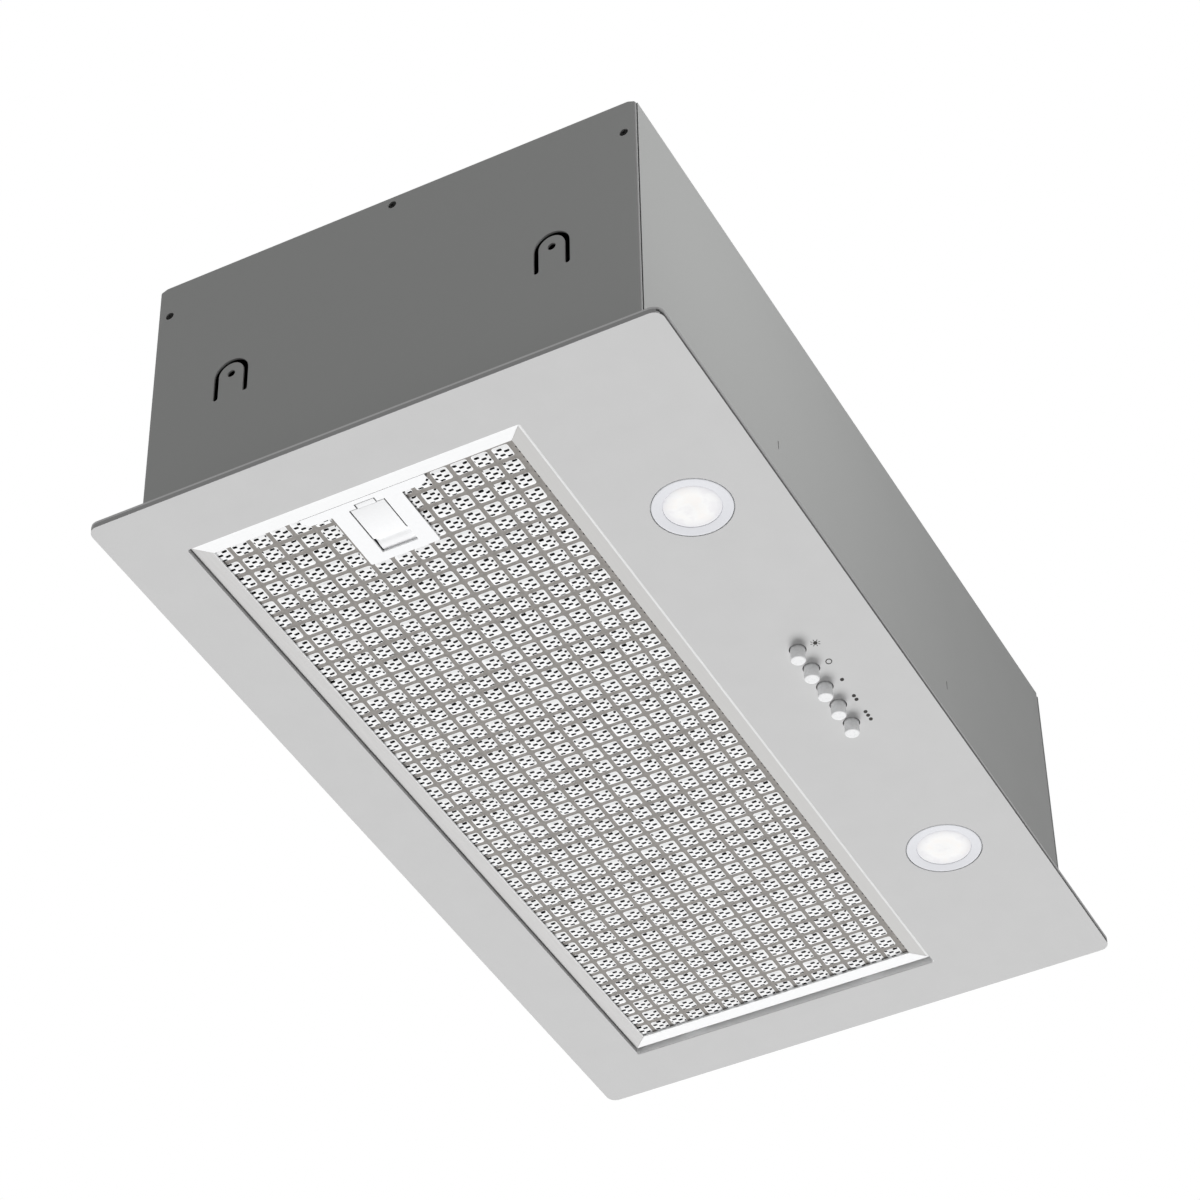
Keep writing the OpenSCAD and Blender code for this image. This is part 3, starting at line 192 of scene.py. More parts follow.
# The arguments of each material; the first two after the name are its colour and its roughness
BROAD_GRAIN = {"spread": 0.012, "grain": (60, 60, 60)}
SHEET = {"spread": 0.012, "grain": (40, 40, 40), "bump": 0.12, "bump_scale": 1500, "specular": 0.3}
BRUSHED = (60, 900, 900)
MATS = {name: material(name, colour, rough, **more) for name, colour, rough, more in [
    ("panel_paint", grey(0.58), 0.42, dict(BROAD_GRAIN, bump=0.25, bump_scale=2600, specular=0.35)),
    ("casing_steel", (0.345, 0.35, 0.345), 0.55, SHEET),
    ("wall_steel", (0.312, 0.316, 0.312), 0.55, SHEET),
    # painted shade: the corner bends of the end walls, darker than their sides
    ("bend_steel", grey(0.235), 0.55, dict(spread=0.02, specular=0.25)),
    # painted shade: the ends of the front and rear walls, in the gaps at the corners
    ("seam_steel", grey(0.13), 0.6, dict(spread=0.02, specular=0.2)),
    # painted highlight: a light strip along the front profile's outer edge
    ("lip_paint", grey(0.78), 0.45, dict(BROAD_GRAIN, specular=0.35)),
    # painted shade: the panel's rim, darker than its face where less light falls
    ("rim_paint", grey(0.34), 0.45, dict(BROAD_GRAIN, specular=0.3)),
    # painted light: sides of the opening, paler than the panel where they would lie in shade
    ("inner_paint", grey(0.85), 0.45, dict(BROAD_GRAIN, specular=0.35)),
    # painted shadow: the dark line under the panel's long edges, the rims of the button holes and
    # the latch plate's left end
    ("edge_paint", grey(0.04), 0.5, dict(spread=0.03, specular=0.2)),
    ("zinc_steel", (0.56, 0.57, 0.58), 0.36,
     dict(metallic=1.0, grain=(1500, 1500, 1500), bump=0.2)),
    ("filter_aluminium", (0.672, 0.667, 0.658), 0.34,
     dict(metallic=1.0, spread=0.015, grain=BRUSHED, bump=0.1)),
    # painted light: the rear profile as a lighter copy of the frame's aluminium
    ("frame_rear", (0.69, 0.685, 0.68), 0.36,
     dict(metallic=0.8, spread=0.03, grain=BRUSHED, bump=0.1)),
    # painted light: the end profiles as a near-white copy of the frame's aluminium, also the
    # highlight on the rear profile's inner edge
    ("frame_ends", (0.97, 0.975, 0.98), 0.3,
     dict(metallic=0.3, spread=0.01, grain=(900, 60, 900), bump=0.08)),
    ("mesh_pads", (0.95, 0.955, 0.96), 0.4,
     dict(metallic=0.2, spread=0.02, bump=0.15, bump_scale=1800)),
    # painted shade: the grooves between the pads, the pads' edges and a strip along the front
    # border
    ("mesh_grooves", (0.3, 0.284, 0.268), 0.55, dict(metallic=0.3, spread=0.12, bump=0.3)),
    ("mesh_back", (0.55, 0.555, 0.56), 0.4, dict(metallic=0.6, bump=0.2)),
    # painted shade: the aluminium core mesh behind the face and the walls of the slots, made near
    # black
    ("mesh_core", grey(0.07), 0.6, dict(metallic=0.5, spread=0.2, bump=0.3)),
    ("cast_aluminium", (0.62, 0.63, 0.64), 0.5, dict(metallic=1.0, bump=0.5, bump_scale=700)),
    ("stator_steel", (0.3, 0.17, 0.1), 0.4,
     dict(metallic=0.4, spread=0.2, grain=(4000, 200, 200), bump=0.4)),
    ("bearing_bronze", (0.65, 0.45, 0.25), 0.35, dict(metallic=1.0, spread=0.08, bump=0.2)),
    ("black_rubber", grey(0.03), 0.75, dict(spread=0.15, bump=0.5)),
    ("dark_plastic", (0.06, 0.06, 0.065), 0.5, dict(spread=0.08, bump=0.45, bump_scale=1600)),
    ("light_plastic", (0.74, 0.74, 0.72), 0.45, dict(spread=0.02, bump=0.2)),
    ("white_plastic", (0.745, 0.752, 0.785), 0.3, dict(spread=0.012, bump=0.05, coat=0.15)),
    ("latch_white", (0.96, 0.965, 0.975), 0.32, dict(spread=0.01, bump=0.05, coat=0.1)),
    # painted shade: the sides of the plate's window round the slider
    ("latch_seam", grey(0.3), 0.4, dict(spread=0.03)),
    ("black_steel", grey(0.006), 0.7,
     dict(spread=0.2, grain=(900, 900, 900), bump=0.3, specular=0.15)),
    ("button_plastic", (0.86, 0.865, 0.87), 0.28, dict(spread=0.012, bump=0.05, coat=0.2)),
    ("frosted_lens", (0.62, 0.62, 0.615), 0.5, dict(spread=0.01, bump=0.1)),
    ("spring_steel", (0.45, 0.45, 0.46), 0.3, dict(metallic=1.0, grain=(200, 200, 4000))),
    ("ink", (0.03, 0.027, 0.025), 0.6, dict(spread=0.1)),
]}


def lens_glow(m, lens_r=12.9):
    """Makes the lenses shine, brightest between middle and edge, with soft spots of the diodes."""
    nt = m.node_tree
    place = shader(nt, "TexCoord").outputs["Object"]
    apart = shader(nt, "SeparateXYZ", {"Vector": place})
    dx = maths(nt, "SUBTRACT", maths(nt, "ABSOLUTE", apart.outputs["X"]), LAMP_X * MM)
    dy = maths(nt, "SUBTRACT", apart.outputs["Y"], CONTROL_Y * MM)
    squares = [maths(nt, "MULTIPLY", d, d) for d in (dx, dy)]
    r = maths(nt, "SQRT", maths(nt, "ADD", *squares))
    stops = [(0.0, 0.82, 0.0), (0.3, 0.88, 0.0), (0.6, 0.92, 0.0), (0.8, 0.77, 0.03),
             (0.92, 0.6, 0.06), (1.0, 0.5, 0.08)]
    light = colour_ramp(nt, maths(nt, "DIVIDE", r, lens_r * MM),
                        [(share, (v, v, v + blue)) for share, v, blue in stops])
    spots = shader(nt, "TexNoise", {"Vector": place, "Scale": 150})
    tint = colour_ramp(nt, spots.outputs["Fac"],
                       [(0.36, (0.86, 0.83, 0.88)), (0.5, (1, 1, 1)), (0.68, (1, 0.93, 0.88))])
    mix = shader(nt, "Mix", {"Factor": 1, "A": light, "B": tint}, data_type="RGBA",
                 blend_type="MULTIPLY")
    feed(nt, nt.nodes["Principled BSDF"],
         {"Emission Color": mix.outputs["Result"], "Emission Strength": 0.36})


def punched(m, hole):
    """Paints staggered rows of dark holes on a plain mesh sheet."""
    nt = m.node_tree
    bsdf = nt.nodes["Principled BSDF"]
    apart = shader(nt, "SeparateXYZ", {"Vector": shader(nt, "TexCoord").outputs["Object"]})
    turns = [maths(nt, "MULTIPLY", apart.outputs[axis], 2 * math.pi / (pitch * MM))
             for axis, pitch in (("X", SLOT_PX), ("Y", 2 * SLOT_PY))]
    waves = [maths(nt, "SINE", turn) for turn in turns]
    mask = shader(nt, "MapRange", {"Value": maths(nt, "MULTIPLY", *waves), "From Min": 0.35,
                                   "From Max": 0.45})
    plain = bsdf.inputs["Base Color"].links[0].from_socket
    mix = shader(nt, "Mix", {"Factor": mask.outputs["Result"], "A": plain, "B": [*hole, 1]},
                 data_type="RGBA")
    feed(nt, bsdf, {"Base Color": mix.outputs["Result"]})


lens_glow(MATS["frosted_lens"])
punched(MATS["mesh_back"], grey(0.05))

# Each node takes the material of its slot, apart from these
NODE_MATS = {n: MATS[s] for n, s in SLOT_OF.items() if s in MATS}
for finish, members in {
    # the core mesh gets painted shade
    "mesh_core": ["filter_core_mesh"], "mesh_back": ["filter_back_mesh"],
    # the end and rear profiles get lighter copies of the frame's aluminium: painted light
    "frame_ends": ["filter_frame_left", "filter_frame_right"], "frame_rear": ["filter_frame_rear"],
    "latch_white": ["latch_plate", "latch_slider"], "wall_steel": ["front_wall", "rear_wall"],
    "black_steel": ["wall_screws"],
}.items():
    NODE_MATS.update({n: MATS[finish] for n in members})
for name, obj in NODES.items():
    obj.data.materials.clear()
    obj.data.materials.append(NODE_MATS[name])


def linked(name, data):
    """A new object in the scene."""
    obj = bpy.data.objects.new(name, data)
    bpy.context.scene.collection.objects.link(obj)
    return obj


def new_object(name, data, node=None, body=None, slot=None):
    """Links an object, puts it on its body, and lets it stand for its node."""
    obj = linked(name, data)
    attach(obj, body or BODY_OF[node])
    if node:
        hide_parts(node)
    return obj


def from_bmesh(name, bm, mats, smooth_angle=35, **where):
    """Turns a bmesh in millimetres into an object, smooth except at edges sharper than smooth_angle
    degrees."""
    bmesh.ops.scale(bm, vec=(MM, MM, MM), verts=bm.verts)
    limit = math.radians(smooth_angle)
    for f in bm.faces:
        f.smooth = True
    for e in bm.edges:
        e.smooth = len(e.link_faces) == 2 and e.calc_face_angle(0) < limit
    data = bpy.data.meshes.new(name)
    bm.to_mesh(data)
    bm.free()
    for m in mats:
        data.materials.append(m)
    return new_object(name, data, **where)


def node_bmesh(node, weld=0.002, flat=0.6):
    """A copy of a CAD node's mesh in millimetres, with its flat faces joined up again: points
    closer than weld become one, and faces that differ by less than flat degrees are joined."""
    bm = bmesh.new()
    bm.from_mesh(NODES[node].data)
    bmesh.ops.scale(bm, vec=(1 / MM, 1 / MM, 1 / MM), verts=bm.verts)
    bmesh.ops.remove_doubles(bm, verts=bm.verts, dist=weld)
    bmesh.ops.dissolve_limit(bm, angle_limit=math.radians(flat), verts=bm.verts, edges=bm.edges)
    return bm


def soften(node, width, broad=None, sharp=None, shades=(), cuts=()):
    """Stands for a CAD node with the same shape and its edges of over 40 degrees rounded. broad is
    the width of a wider roll and the test of its edges; sharp is the test of edges that stay as
    they are. shades are further materials, each with the test of its faces by centre and normal,
    and cuts are the axis and place of planes at which faces are split."""
    bm = node_bmesh(node)
    least = math.radians(40)

    def roll(test, offset, segments):
        edges = [e for e in bm.edges if len(e.link_faces) == 2
                 and e.calc_face_angle(0) > least and test(e)]
        bmesh.ops.bevel(bm, geom=edges, offset=offset, segments=segments, profile=0.5,
                        affect="EDGES", clamp_overlap=True, offset_type="OFFSET")

    if broad:
        roll(broad[1], broad[0], segments=5)
    roll(lambda e: not (sharp and sharp(e)), width, segments=2)
    for axis, place in cuts:
        normal = [float(k == axis) for k in range(3)]
        bmesh.ops.bisect_plane(bm, geom=bm.verts[:] + bm.edges[:] + bm.faces[:],
                               plane_co=[place * k for k in normal], plane_no=normal)
    for k, (m, test) in enumerate(shades):
        for f in bm.faces:
            if test(f.calc_center_median(), f.normal):
                f.material_index = k + 1
    mats = [NODE_MATS[node]] + [m for m, test in shades]
    obj = from_bmesh(node + "_finish", bm, mats, node=node)
    even = obj.modifiers.new("even_normals", "WEIGHTED_NORMAL")
    even.keep_sharp = True
    even.weight = 100


def band(bm, a, b):
    """Joins two closed rings of as many vertices with a band of faces."""
    for i in range(len(a)):
        j = (i + 1) % len(a)
        bm.faces.new([a[i], a[j], b[j], b[i]])


def ring_points(cx, cy, r, count):
    return [(cx + r * math.cos(2 * math.pi * i / count), cy + r * math.sin(2 * math.pi * i / count))
            for i in range(count)]


def arc(cx, cy, r, a0, a1, steps=6):
    """Points on an arc from angle a0 to a1, in degrees."""
    return [(cx + r * math.cos(math.radians(a0 + (a1 - a0) * i / steps)),
             cy + r * math.sin(math.radians(a0 + (a1 - a0) * i / steps))) for i in range(steps + 1)]


def lathe(bm, profile, cx, cy, steps):
    """Adds a surface of revolution about the upright axis at cx, cy. profile lists radius and z."""
    rings = []
    for r, z in profile:
        points = ring_points(cx, cy, r, steps) if r else [(cx, cy)]
        rings.append([bm.verts.new((x, y, z)) for x, y in points])
    for a, b in zip(rings, rings[1:]):
        for i in range(steps):
            j = (i + 1) % steps
            quad = [a[i % len(a)], a[j % len(a)], b[j % len(b)], b[i % len(b)]]
            bm.faces.new([v for k, v in enumerate(quad) if v not in quad[:k]])


def rounded_loop(x0, x1, y0, y1, r):
    """Points round a rectangle with rounded corners, with one more in the middle of each side."""
    pts = []
    spots = [(x1 - r, y1 - r, 0), (x0 + r, y1 - r, 90), (x0 + r, y0 + r, 180),
             (x1 - r, y0 + r, 270)]
    for k, (cx, cy, a) in enumerate(spots):
        corner = arc(cx, cy, r, a, a + 90, 3)
        nx, ny, na = spots[(k + 1) % 4]
        nxt = (nx + r * math.cos(math.radians(na)), ny + r * math.sin(math.radians(na)))
        pts += corner + [((corner[-1][0] + nxt[0]) / 2, (corner[-1][1] + nxt[1]) / 2)]
    return pts


def inside_pad(x, y, x0, x1, y0, y1):
    """Distance of a point inside the rounded outline of a pad; negative outside it."""
    qx = abs(x - (x0 + x1) / 2) - (x1 - x0) / 2 + PAD_R
    qy = abs(y - (y0 + y1) / 2) - (y1 - y0) / 2 + PAD_R
    return -(math.hypot(max(qx, 0), max(qy, 0)) + min(max(qx, qy), 0) - PAD_R)


def pad_z(x, y, pad):
    """Height of the sheet: groove at GROOVE_Z, slope, and pad that bulges down past MESH_Z."""
    t = min(max(inside_pad(x, y, *pad) / SLOPE_W, 0), 1)
    u = (x - (pad[0] + pad[1]) / 2) / (pad[1] - pad[0])
    v = (y - (pad[2] + pad[3]) / 2) / (pad[3] - pad[2])
    slope = (GROOVE_Z - MESH_Z - BULGE / 2) * t * t * (3 - 2 * t)
    return GROOVE_Z - slope - BULGE * t * max(0, 1 - 2 * (u * u + v * v))


def slots_in(pad):
    """Slots of the staggered lattice that fall on a pad, cut to it, each with two pointed ends."""
    x0, x1 = pad[0] + SLOT_MARGIN, pad[1] - SLOT_MARGIN
    y0, y1 = pad[2] + SLOT_MARGIN, pad[3] - SLOT_MARGIN
    found = []
    for j in range(math.floor(y0 / SLOT_PY) - 1, math.ceil(y1 / SLOT_PY) + 2):
        for i in range(math.floor(x0 / SLOT_PX) - 1, math.ceil(x1 / SLOT_PX) + 2):
            cx, cy = (i + (j % 2) / 2) * SLOT_PX, j * SLOT_PY
            a0, a1 = max(cx - SLOT_W / 2, x0), min(cx + SLOT_W / 2, x1)
            b0, b1 = max(cy - SLOT_L / 2, y0), min(cy + SLOT_L / 2, y1)
            if a1 - a0 < LEAST_SLOT_W or b1 - b0 < LEAST_SLOT_L:
                continue
            mid = (a0 + a1) / 2
            found.append([(mid, b0), (a1, b0 + SLOT_TIP), (a1, b1 - SLOT_TIP), (mid, b1),
                          (a0, b1 - SLOT_TIP), (a0, b0 + SLOT_TIP)])
    return found


def trimmed(x, y, cell_x1):
    """A point of the mesh, pushed back to where the sheet ends at the latch and at the frame."""
    x += SKEW * (y - OPENING_Y)
    y = max(y, MESH_Y0)
    if x < LATCH_X and CROSSED_Y0 < y < CROSSED_Y1:
        y = max(y, LATCH_Y1)
    if LATCH_Y0 < y < LATCH_Y1 and cell_x1 > LATCH_X:
        x = max(x, LATCH_X)
    return max(min(x, MESH_X1), MESH_X0), y


def mesh_cell(bm, x0, x1, y0, y1):
    """Adds one pad with its slots and the half grooves round it."""
    pad = (x0 + GROOVE_X / 2, x1 - GROOVE_X / 2, y0 + GROOVE_Y / 2, y1 - GROOVE_Y / 2)
    points, faces, edges = [], [], []

    def loop(pts):
        start = len(points)
        points.extend(Vector(p) for p in pts)
        ids = list(range(start, len(points)))
        edges.extend(zip(ids, ids[1:] + ids[:1]))
        return ids

    faces.append(loop([(x0, y0), (x1, y0), (x1, y1), (x0, y1)]))
    for inset, r in [(0, PAD_R), (0.45, 1.15), (SLOPE_W, 0.6)]:
        loop(rounded_loop(pad[0] + inset, pad[1] - inset, pad[2] + inset, pad[3] - inset, r))
    near_middle = (-1.4, 1.4)
    points.extend([Vector(((x0 + x1) / 2 + a, (y0 + y1) / 2 + b))
                   for a in near_middle for b in near_middle])
    for slot in slots_in(pad):
        faces.append(loop(slot))
    inside_only, epsilon, with_origins = 1, 0.001, True
    flat, _, triangles, _, _, origins = delaunay_2d_cdt(points, edges, faces, inside_only, epsilon,
                                                        with_origins)
    verts = [bm.verts.new((*trimmed(p.x, p.y, x1), pad_z(p.x, p.y, pad))) for p in flat]
    for tri, origin in zip(triangles, origins):
        in_slot = any(o > 0 for o in origin)
        if in_slot:
            continue
        cx, cy = sum(flat[k].x for k in tri) / 3, sum(flat[k].y for k in tri) / 3
        face = bm.faces.new([verts[k] for k in reversed(tri)])
        # painted shade on the grooves, the pads' edges and the front strip
        face.material_index = int(inside_pad(cx, cy, *pad) < SHADED_PAD_EDGE or cy < SHADED_FRONT_Y)


def face_mesh():
    """The filter's slotted face, with its pads, painted shade on its grooves, and painted shade on
    the walls of its slots as its materials.
    """
    xs = [FILTER_X + COLUMN_SHIFT + i * PAD_PITCH_X for i in range(-22, 23)]
    ys = [OPENING_Y + ROW_SHIFT + j * PAD_PITCH_Y for j in range(-8, 9)]
    bm = bmesh.new()
    for x0, x1 in zip(xs, xs[1:]):
        for y0, y1 in zip(ys, ys[1:]):
            under_latch = x1 < LATCH_X and y0 > LATCH_Y0 and y1 < LATCH_Y1
            if not under_latch:
                mesh_cell(bm, x0, x1, y0, y1)
    bmesh.ops.remove_doubles(bm, verts=bm.verts, dist=0.004)
    bmesh.ops.dissolve_degenerate(bm, edges=bm.edges, dist=0.003)
    rims = [e for e in bm.edges if e.is_boundary
            and all(abs(v.co.z - GROOVE_Z) > 0.02 for v in e.verts)]
    raised = bmesh.ops.extrude_edge_only(bm, edges=rims)["geom"]
    # the slot walls get painted shade
    for g in raised:
        if isinstance(g, bmesh.types.BMFace):
            g.material_index = 2
    up = [g for g in raised if isinstance(g, bmesh.types.BMVert)]
    bmesh.ops.translate(bm, verts=up, vec=(0, 0, SHEET_T))
    mats = [MATS["mesh_pads"], MATS["mesh_grooves"], MATS["mesh_core"]]
    from_bmesh("face_mesh_slotted", bm, mats, 50, node="filter_face_mesh")


face_mesh()


def opening_rim(edge):
    """True for the lower edges of the panel's opening, except at its left."""
    return all(abs(v.co.z - PANEL_Z) < 0.01 and HOLE_X0 < v.co.x < HOLE_X1
               and HOLE_Y0 < v.co.y < HOLE_Y1 for v in edge.verts)


def wall_end(edge):
    """True for the upright edges at the ends of the front and rear walls."""
    return all(abs(v.co.x) > WALL_END_X for v in edge.verts)


# Rounded edges on the rigid pieces that show. On the panel: painted shade on the rim, a painted
# shadow under its long edges, painted light on the opening's right side, painted shade in the
# rims of the button holes, and a painted highlight on the opening's front side.
soften("face_panel", 0.3, broad=(1.0, opening_rim), cuts=[(2, RIM_TOP), (2, DARK_TOP)], shades=[
    # painted shade on the outer rim
    (MATS["rim_paint"], lambda c, n: abs(n.z) < 0.75 and c.z < RIM_TOP
     and (abs(c.x) > EDGE_X or abs(c.y) > EDGE_Y)),
    # painted shadow under the long edges
    (MATS["edge_paint"], lambda c, n: abs(n.z) < 0.95 and c.z < DARK_TOP
     and abs(c.y) > EDGE_Y and abs(c.x) < DARK_EDGE_X),
    # painted light on the right side of the opening
    (MATS["inner_paint"], lambda c, n: abs(n.z) < 0.6 and RIGHT_SIDE_X0 < c.x < RIGHT_SIDE_X1
     and HOLE_Y0 < c.y < HOLE_Y1),
    # painted shade in the rims of the button holes
    (MATS["edge_paint"], lambda c, n: abs(n.z) < 0.97 and abs(c.y - CONTROL_Y) < STRIP_Y
     and abs(c.x) < STRIP_X),
    # painted highlight on the rolled front side of the opening
    (MATS["inner_paint"], lambda c, n: n.y > 0.12 and HOLE_Y0 < c.y < FRONT_SIDE_Y
     and c.z < FRONT_SIDE_TOP and abs(c.x) < FRONT_SIDE_X)])
# painted shade on the ends of the front and rear walls
for node in ("front_wall", "rear_wall"):
    soften(node, 0.2, sharp=wall_end, shades=[
        (MATS["seam_steel"], lambda c, n: abs(c.x) > WALL_SEAM_X)])
# painted shade on the corner bends
for node in ("end_wall_left", "end_wall_right"):
    soften(node, 0.15, shades=[
        (MATS["bend_steel"], lambda c, n: abs(c.y) > BEND_Y and abs(n.z) < 0.5
         and 0.1 < abs(n.x) < 0.97)])
for node, width in {
    "top_plate": 0.2, "filter_frame_left": 0.25, "filter_frame_right": 0.25,
    "outlet_collar": 0.5, "cable_gland": 0.5, "inlet_cover": 0.4, "terminal_box": 0.4,
    "terminal_lid": 0.4, "lamp_driver": 0.6,
}.items():
    soften(node, width)
# painted shade on the sides of the window next to the pad, and a painted shadow at its left end
soften("latch_plate", 0.25, cuts=[(0, LATCH_SEAM_X)], shades=[
    (MATS["latch_seam"], lambda c, n: abs(n.z) < 0.9 and c.x < LATCH_SEAM_X),
    # painted shadow at the latch plate's left end
    (MATS["edge_paint"], lambda c, n: n.x < -0.2 and c.x < LATCH_END_X)])
# painted highlight along the outer edge of the front profile
soften("filter_frame_front", 0.25, cuts=[(1, FRONT_HIGHLIGHT_Y)], shades=[
    (MATS["lip_paint"], lambda c, n: c.y < FRONT_HIGHLIGHT_Y and n.z < -0.3)])
# painted highlight on the inner edge of the rear profile
soften("filter_frame_rear", 0.25, shades=[
    (MATS["frame_ends"], lambda c, n: n.y < -0.2 and REAR_HIGHLIGHT_Y0 < c.y < REAR_HIGHLIGHT_Y1)])


def prism_y(bm, outline, y0, y1):
    """Adds a solid whose outline is given in X and Z, drawn out from y0 to y1."""
    near = [bm.verts.new((x, y0, z)) for x, z in outline]
    far = [bm.verts.new((x, y1, z)) for x, z in outline]
    bm.faces.new(near)
    bm.faces.new(reversed(far))
    band(bm, far, near)


def latch_slider():
    """Pad that ends in a finger scoop, tab and nose at its left, and the lug that its spring
    pushes."""
    pad_end = -180.05 + FILTER_X
    bm = bmesh.new()

    def strip(points, half):
        outline = [(pad_end + u, FILTER_Z + w) for u, w in points]
        prism_y(bm, outline, OPENING_Y - half, OPENING_Y + half)

    left = [(-19.8, 0.28), (-19.74, 0.15), (-19.6, 0.1)]
    scoop = [(-0.6, 0.1), (-0.2, 0.16), (0.3, 0.4), (0.8, 0.8), (1.3, 1.24), (1.8, 1.56),
             (2.3, 1.72), (2.9, 1.76), (3.5, 1.66), (4.1, 1.46), (4.7, 1.3), (5.3, 1.19),
             (6, 1.13), (9.8, 1.13)]
    back = [(9.8, 2), (4.5, 2.15), (2.5, 2.45), (-0.3, 2.45), (-1.1, 1.9), (-19.8, 1.9)]
    tab_and_nose = [(-22.4, 0.28), (-22.34, 0.15), (-22.2, 0.1), (-19.5, 0.1), (-19.5, 2.2),
                    (-33.4, 2.2), (-33.4, 1.2), (-22.4, 1.2)]
    lug = [(-2, 1.8), (0, 1.8), (0, 6.1), (-2, 6.1)]
    strip(left + scoop + back, 8.22)
    strip(tab_and_nose, 4.42)
    strip(lug, 2.5)
    bmesh.ops.recalc_face_normals(bm, faces=bm.faces)
    from_bmesh("latch_slide_pad", bm, [MATS["latch_white"]], 50, node="latch_slider")


latch_slider()


def loop_edges(bm, verts):
    """The edges round a closed ring of vertices, made where they are missing."""
    pairs = zip(verts, verts[1:] + verts[:1])
    return [bm.edges.get(p) or bm.edges.new(p) for p in pairs]


def wall_screws():
    """Six countersunk screws with cross recesses, their heads a little inside the end walls."""
    bm = bmesh.new()
    head_r, shank_r, tip_r, sunk = 1.7, 1.1, 0.3, 0.1
    wing, arm, taper = 0.2, 0.95, 0.6
    recess_depth, neck_depth, shank_depth, tip_depth = 0.6, 0.9, 5.6, 6.9
    cross = [(wing, wing), (wing, arm), (-wing, arm), (-wing, wing), (-arm, wing), (-arm, -wing),
             (-wing, -wing), (-wing, -arm), (wing, -arm), (wing, -wing), (arm, -wing), (arm, wing)]
    places = [(-116.5, 134.5), (116.5, 134.5), (0.0, 148.8)]
    for side in (-1, 1):
        face_x = side * (WALL_X - sunk)
        for k, (y, z) in enumerate(places):
            turn = 0.4 + 0.9 * k
            c, s = math.cos(turn), math.sin(turn)

            def ring(points, depth):
                return [bm.verts.new((face_x - side * depth, y + a * c - b * s, z + a * s + b * c))
                        for a, b in points]

            deep = ring([(a * taper, b * taper) for a, b in cross], recess_depth)
            rim = ring(cross, 0.04)
            bm.faces.new(deep)
            band(bm, deep, rim)
            outer = ring(ring_points(0, 0, head_r - 0.25, 36), 0.05)
            bmesh.ops.bridge_loops(bm, edges=loop_edges(bm, rim) + loop_edges(bm, outer))
            edge = ring(ring_points(0, 0, head_r, 36), 0.28)
            neck = ring(ring_points(0, 0, head_r, 36), neck_depth)
            band(bm, outer, edge)
            band(bm, edge, neck)
            bm.faces.new(neck)
            shank = [ring(ring_points(0, 0, r, 12), depth) for r, depth in [
                (shank_r, neck_depth), (shank_r, shank_depth), (tip_r, tip_depth)]]
            for a, b in zip(shank, shank[1:]):
                band(bm, a, b)
            bm.faces.new(shank[0])
            bm.faces.new(shank[-1])
    bmesh.ops.recalc_face_normals(bm, faces=bm.faces)
    from_bmesh("wall_screw_heads", bm, [MATS["black_steel"]], node="wall_screws")


wall_screws()


def buttons():
    """Push buttons: a cap with a dished end below the panel, a flange and a stem above it."""
    end_z, cap_r, edge_r = -10.0, 3.5, 0.7
    end = [(0, end_z + 0.02), (1.5, end_z + 0.02), (cap_r - edge_r, end_z)]
    edge = arc(cap_r - edge_r, end_z + edge_r, edge_r, -90, 0)
    above = [(cap_r, 0.3), (4.7, 0.3), (4.7, 2.3), (1.8, 2.3), (1.8, 8.1), (1.6, 8.3), (0, 8.3)]
    for name, x in BUTTON_X.items():
        bm = bmesh.new()
        lathe(bm, end + edge + above, x, CONTROL_Y, 64)
        from_bmesh("button_cap_" + name, bm, [MATS["button_plastic"]], node="button_" + name)


buttons()


def coil_spring(node, axis, turns, wire_r):
    """A wound spring in the space of its CAD sleeve."""
    lo, hi = ([v * 1000 for v in corner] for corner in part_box(node))
    across = [k for k in range(3) if k != axis]
    mid = [(a + b) / 2 for a, b in zip(lo, hi)]
    side_play, end_play = 0.02, 0.03
    coil_r = (hi[across[0]] - lo[across[0]]) / 2 - wire_r - side_play
    start, end = lo[axis] + wire_r + end_play, hi[axis] - wire_r - end_play
    steps, sides = turns * 20, 8
    bm = bmesh.new()
    rings = []
    for i in range(steps + 1):
        a = 2 * math.pi * turns * i / steps
        ring = []
        for k in range(sides):
            b = 2 * math.pi * k / sides
            r = coil_r + wire_r * math.cos(b)
            p = [0.0, 0.0, 0.0]
            p[across[0]] = mid[across[0]] + r * math.cos(a)
            p[across[1]] = mid[across[1]] + r * math.sin(a)
            p[axis] = start + (end - start) * i / steps + wire_r * math.sin(b)
            ring.append(bm.verts.new(p))
        rings.append(ring)
    for a, b in zip(rings, rings[1:]):
        band(bm, a, b)
    bm.faces.new(rings[0])
    bm.faces.new(reversed(rings[-1]))
    bmesh.ops.recalc_face_normals(bm, faces=bm.faces)
    obj = from_bmesh(node + "_coil", bm, [MATS["spring_steel"]], 60, node=node)
    anchor = [m * MM for m in mid]
    anchor[axis] = hi[axis] * MM
    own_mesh(obj)


for name in BUTTON_X:
    coil_spring("spring_" + name, 2, 6, 0.35)
coil_spring("latch_spring", 0, 10, 0.22)


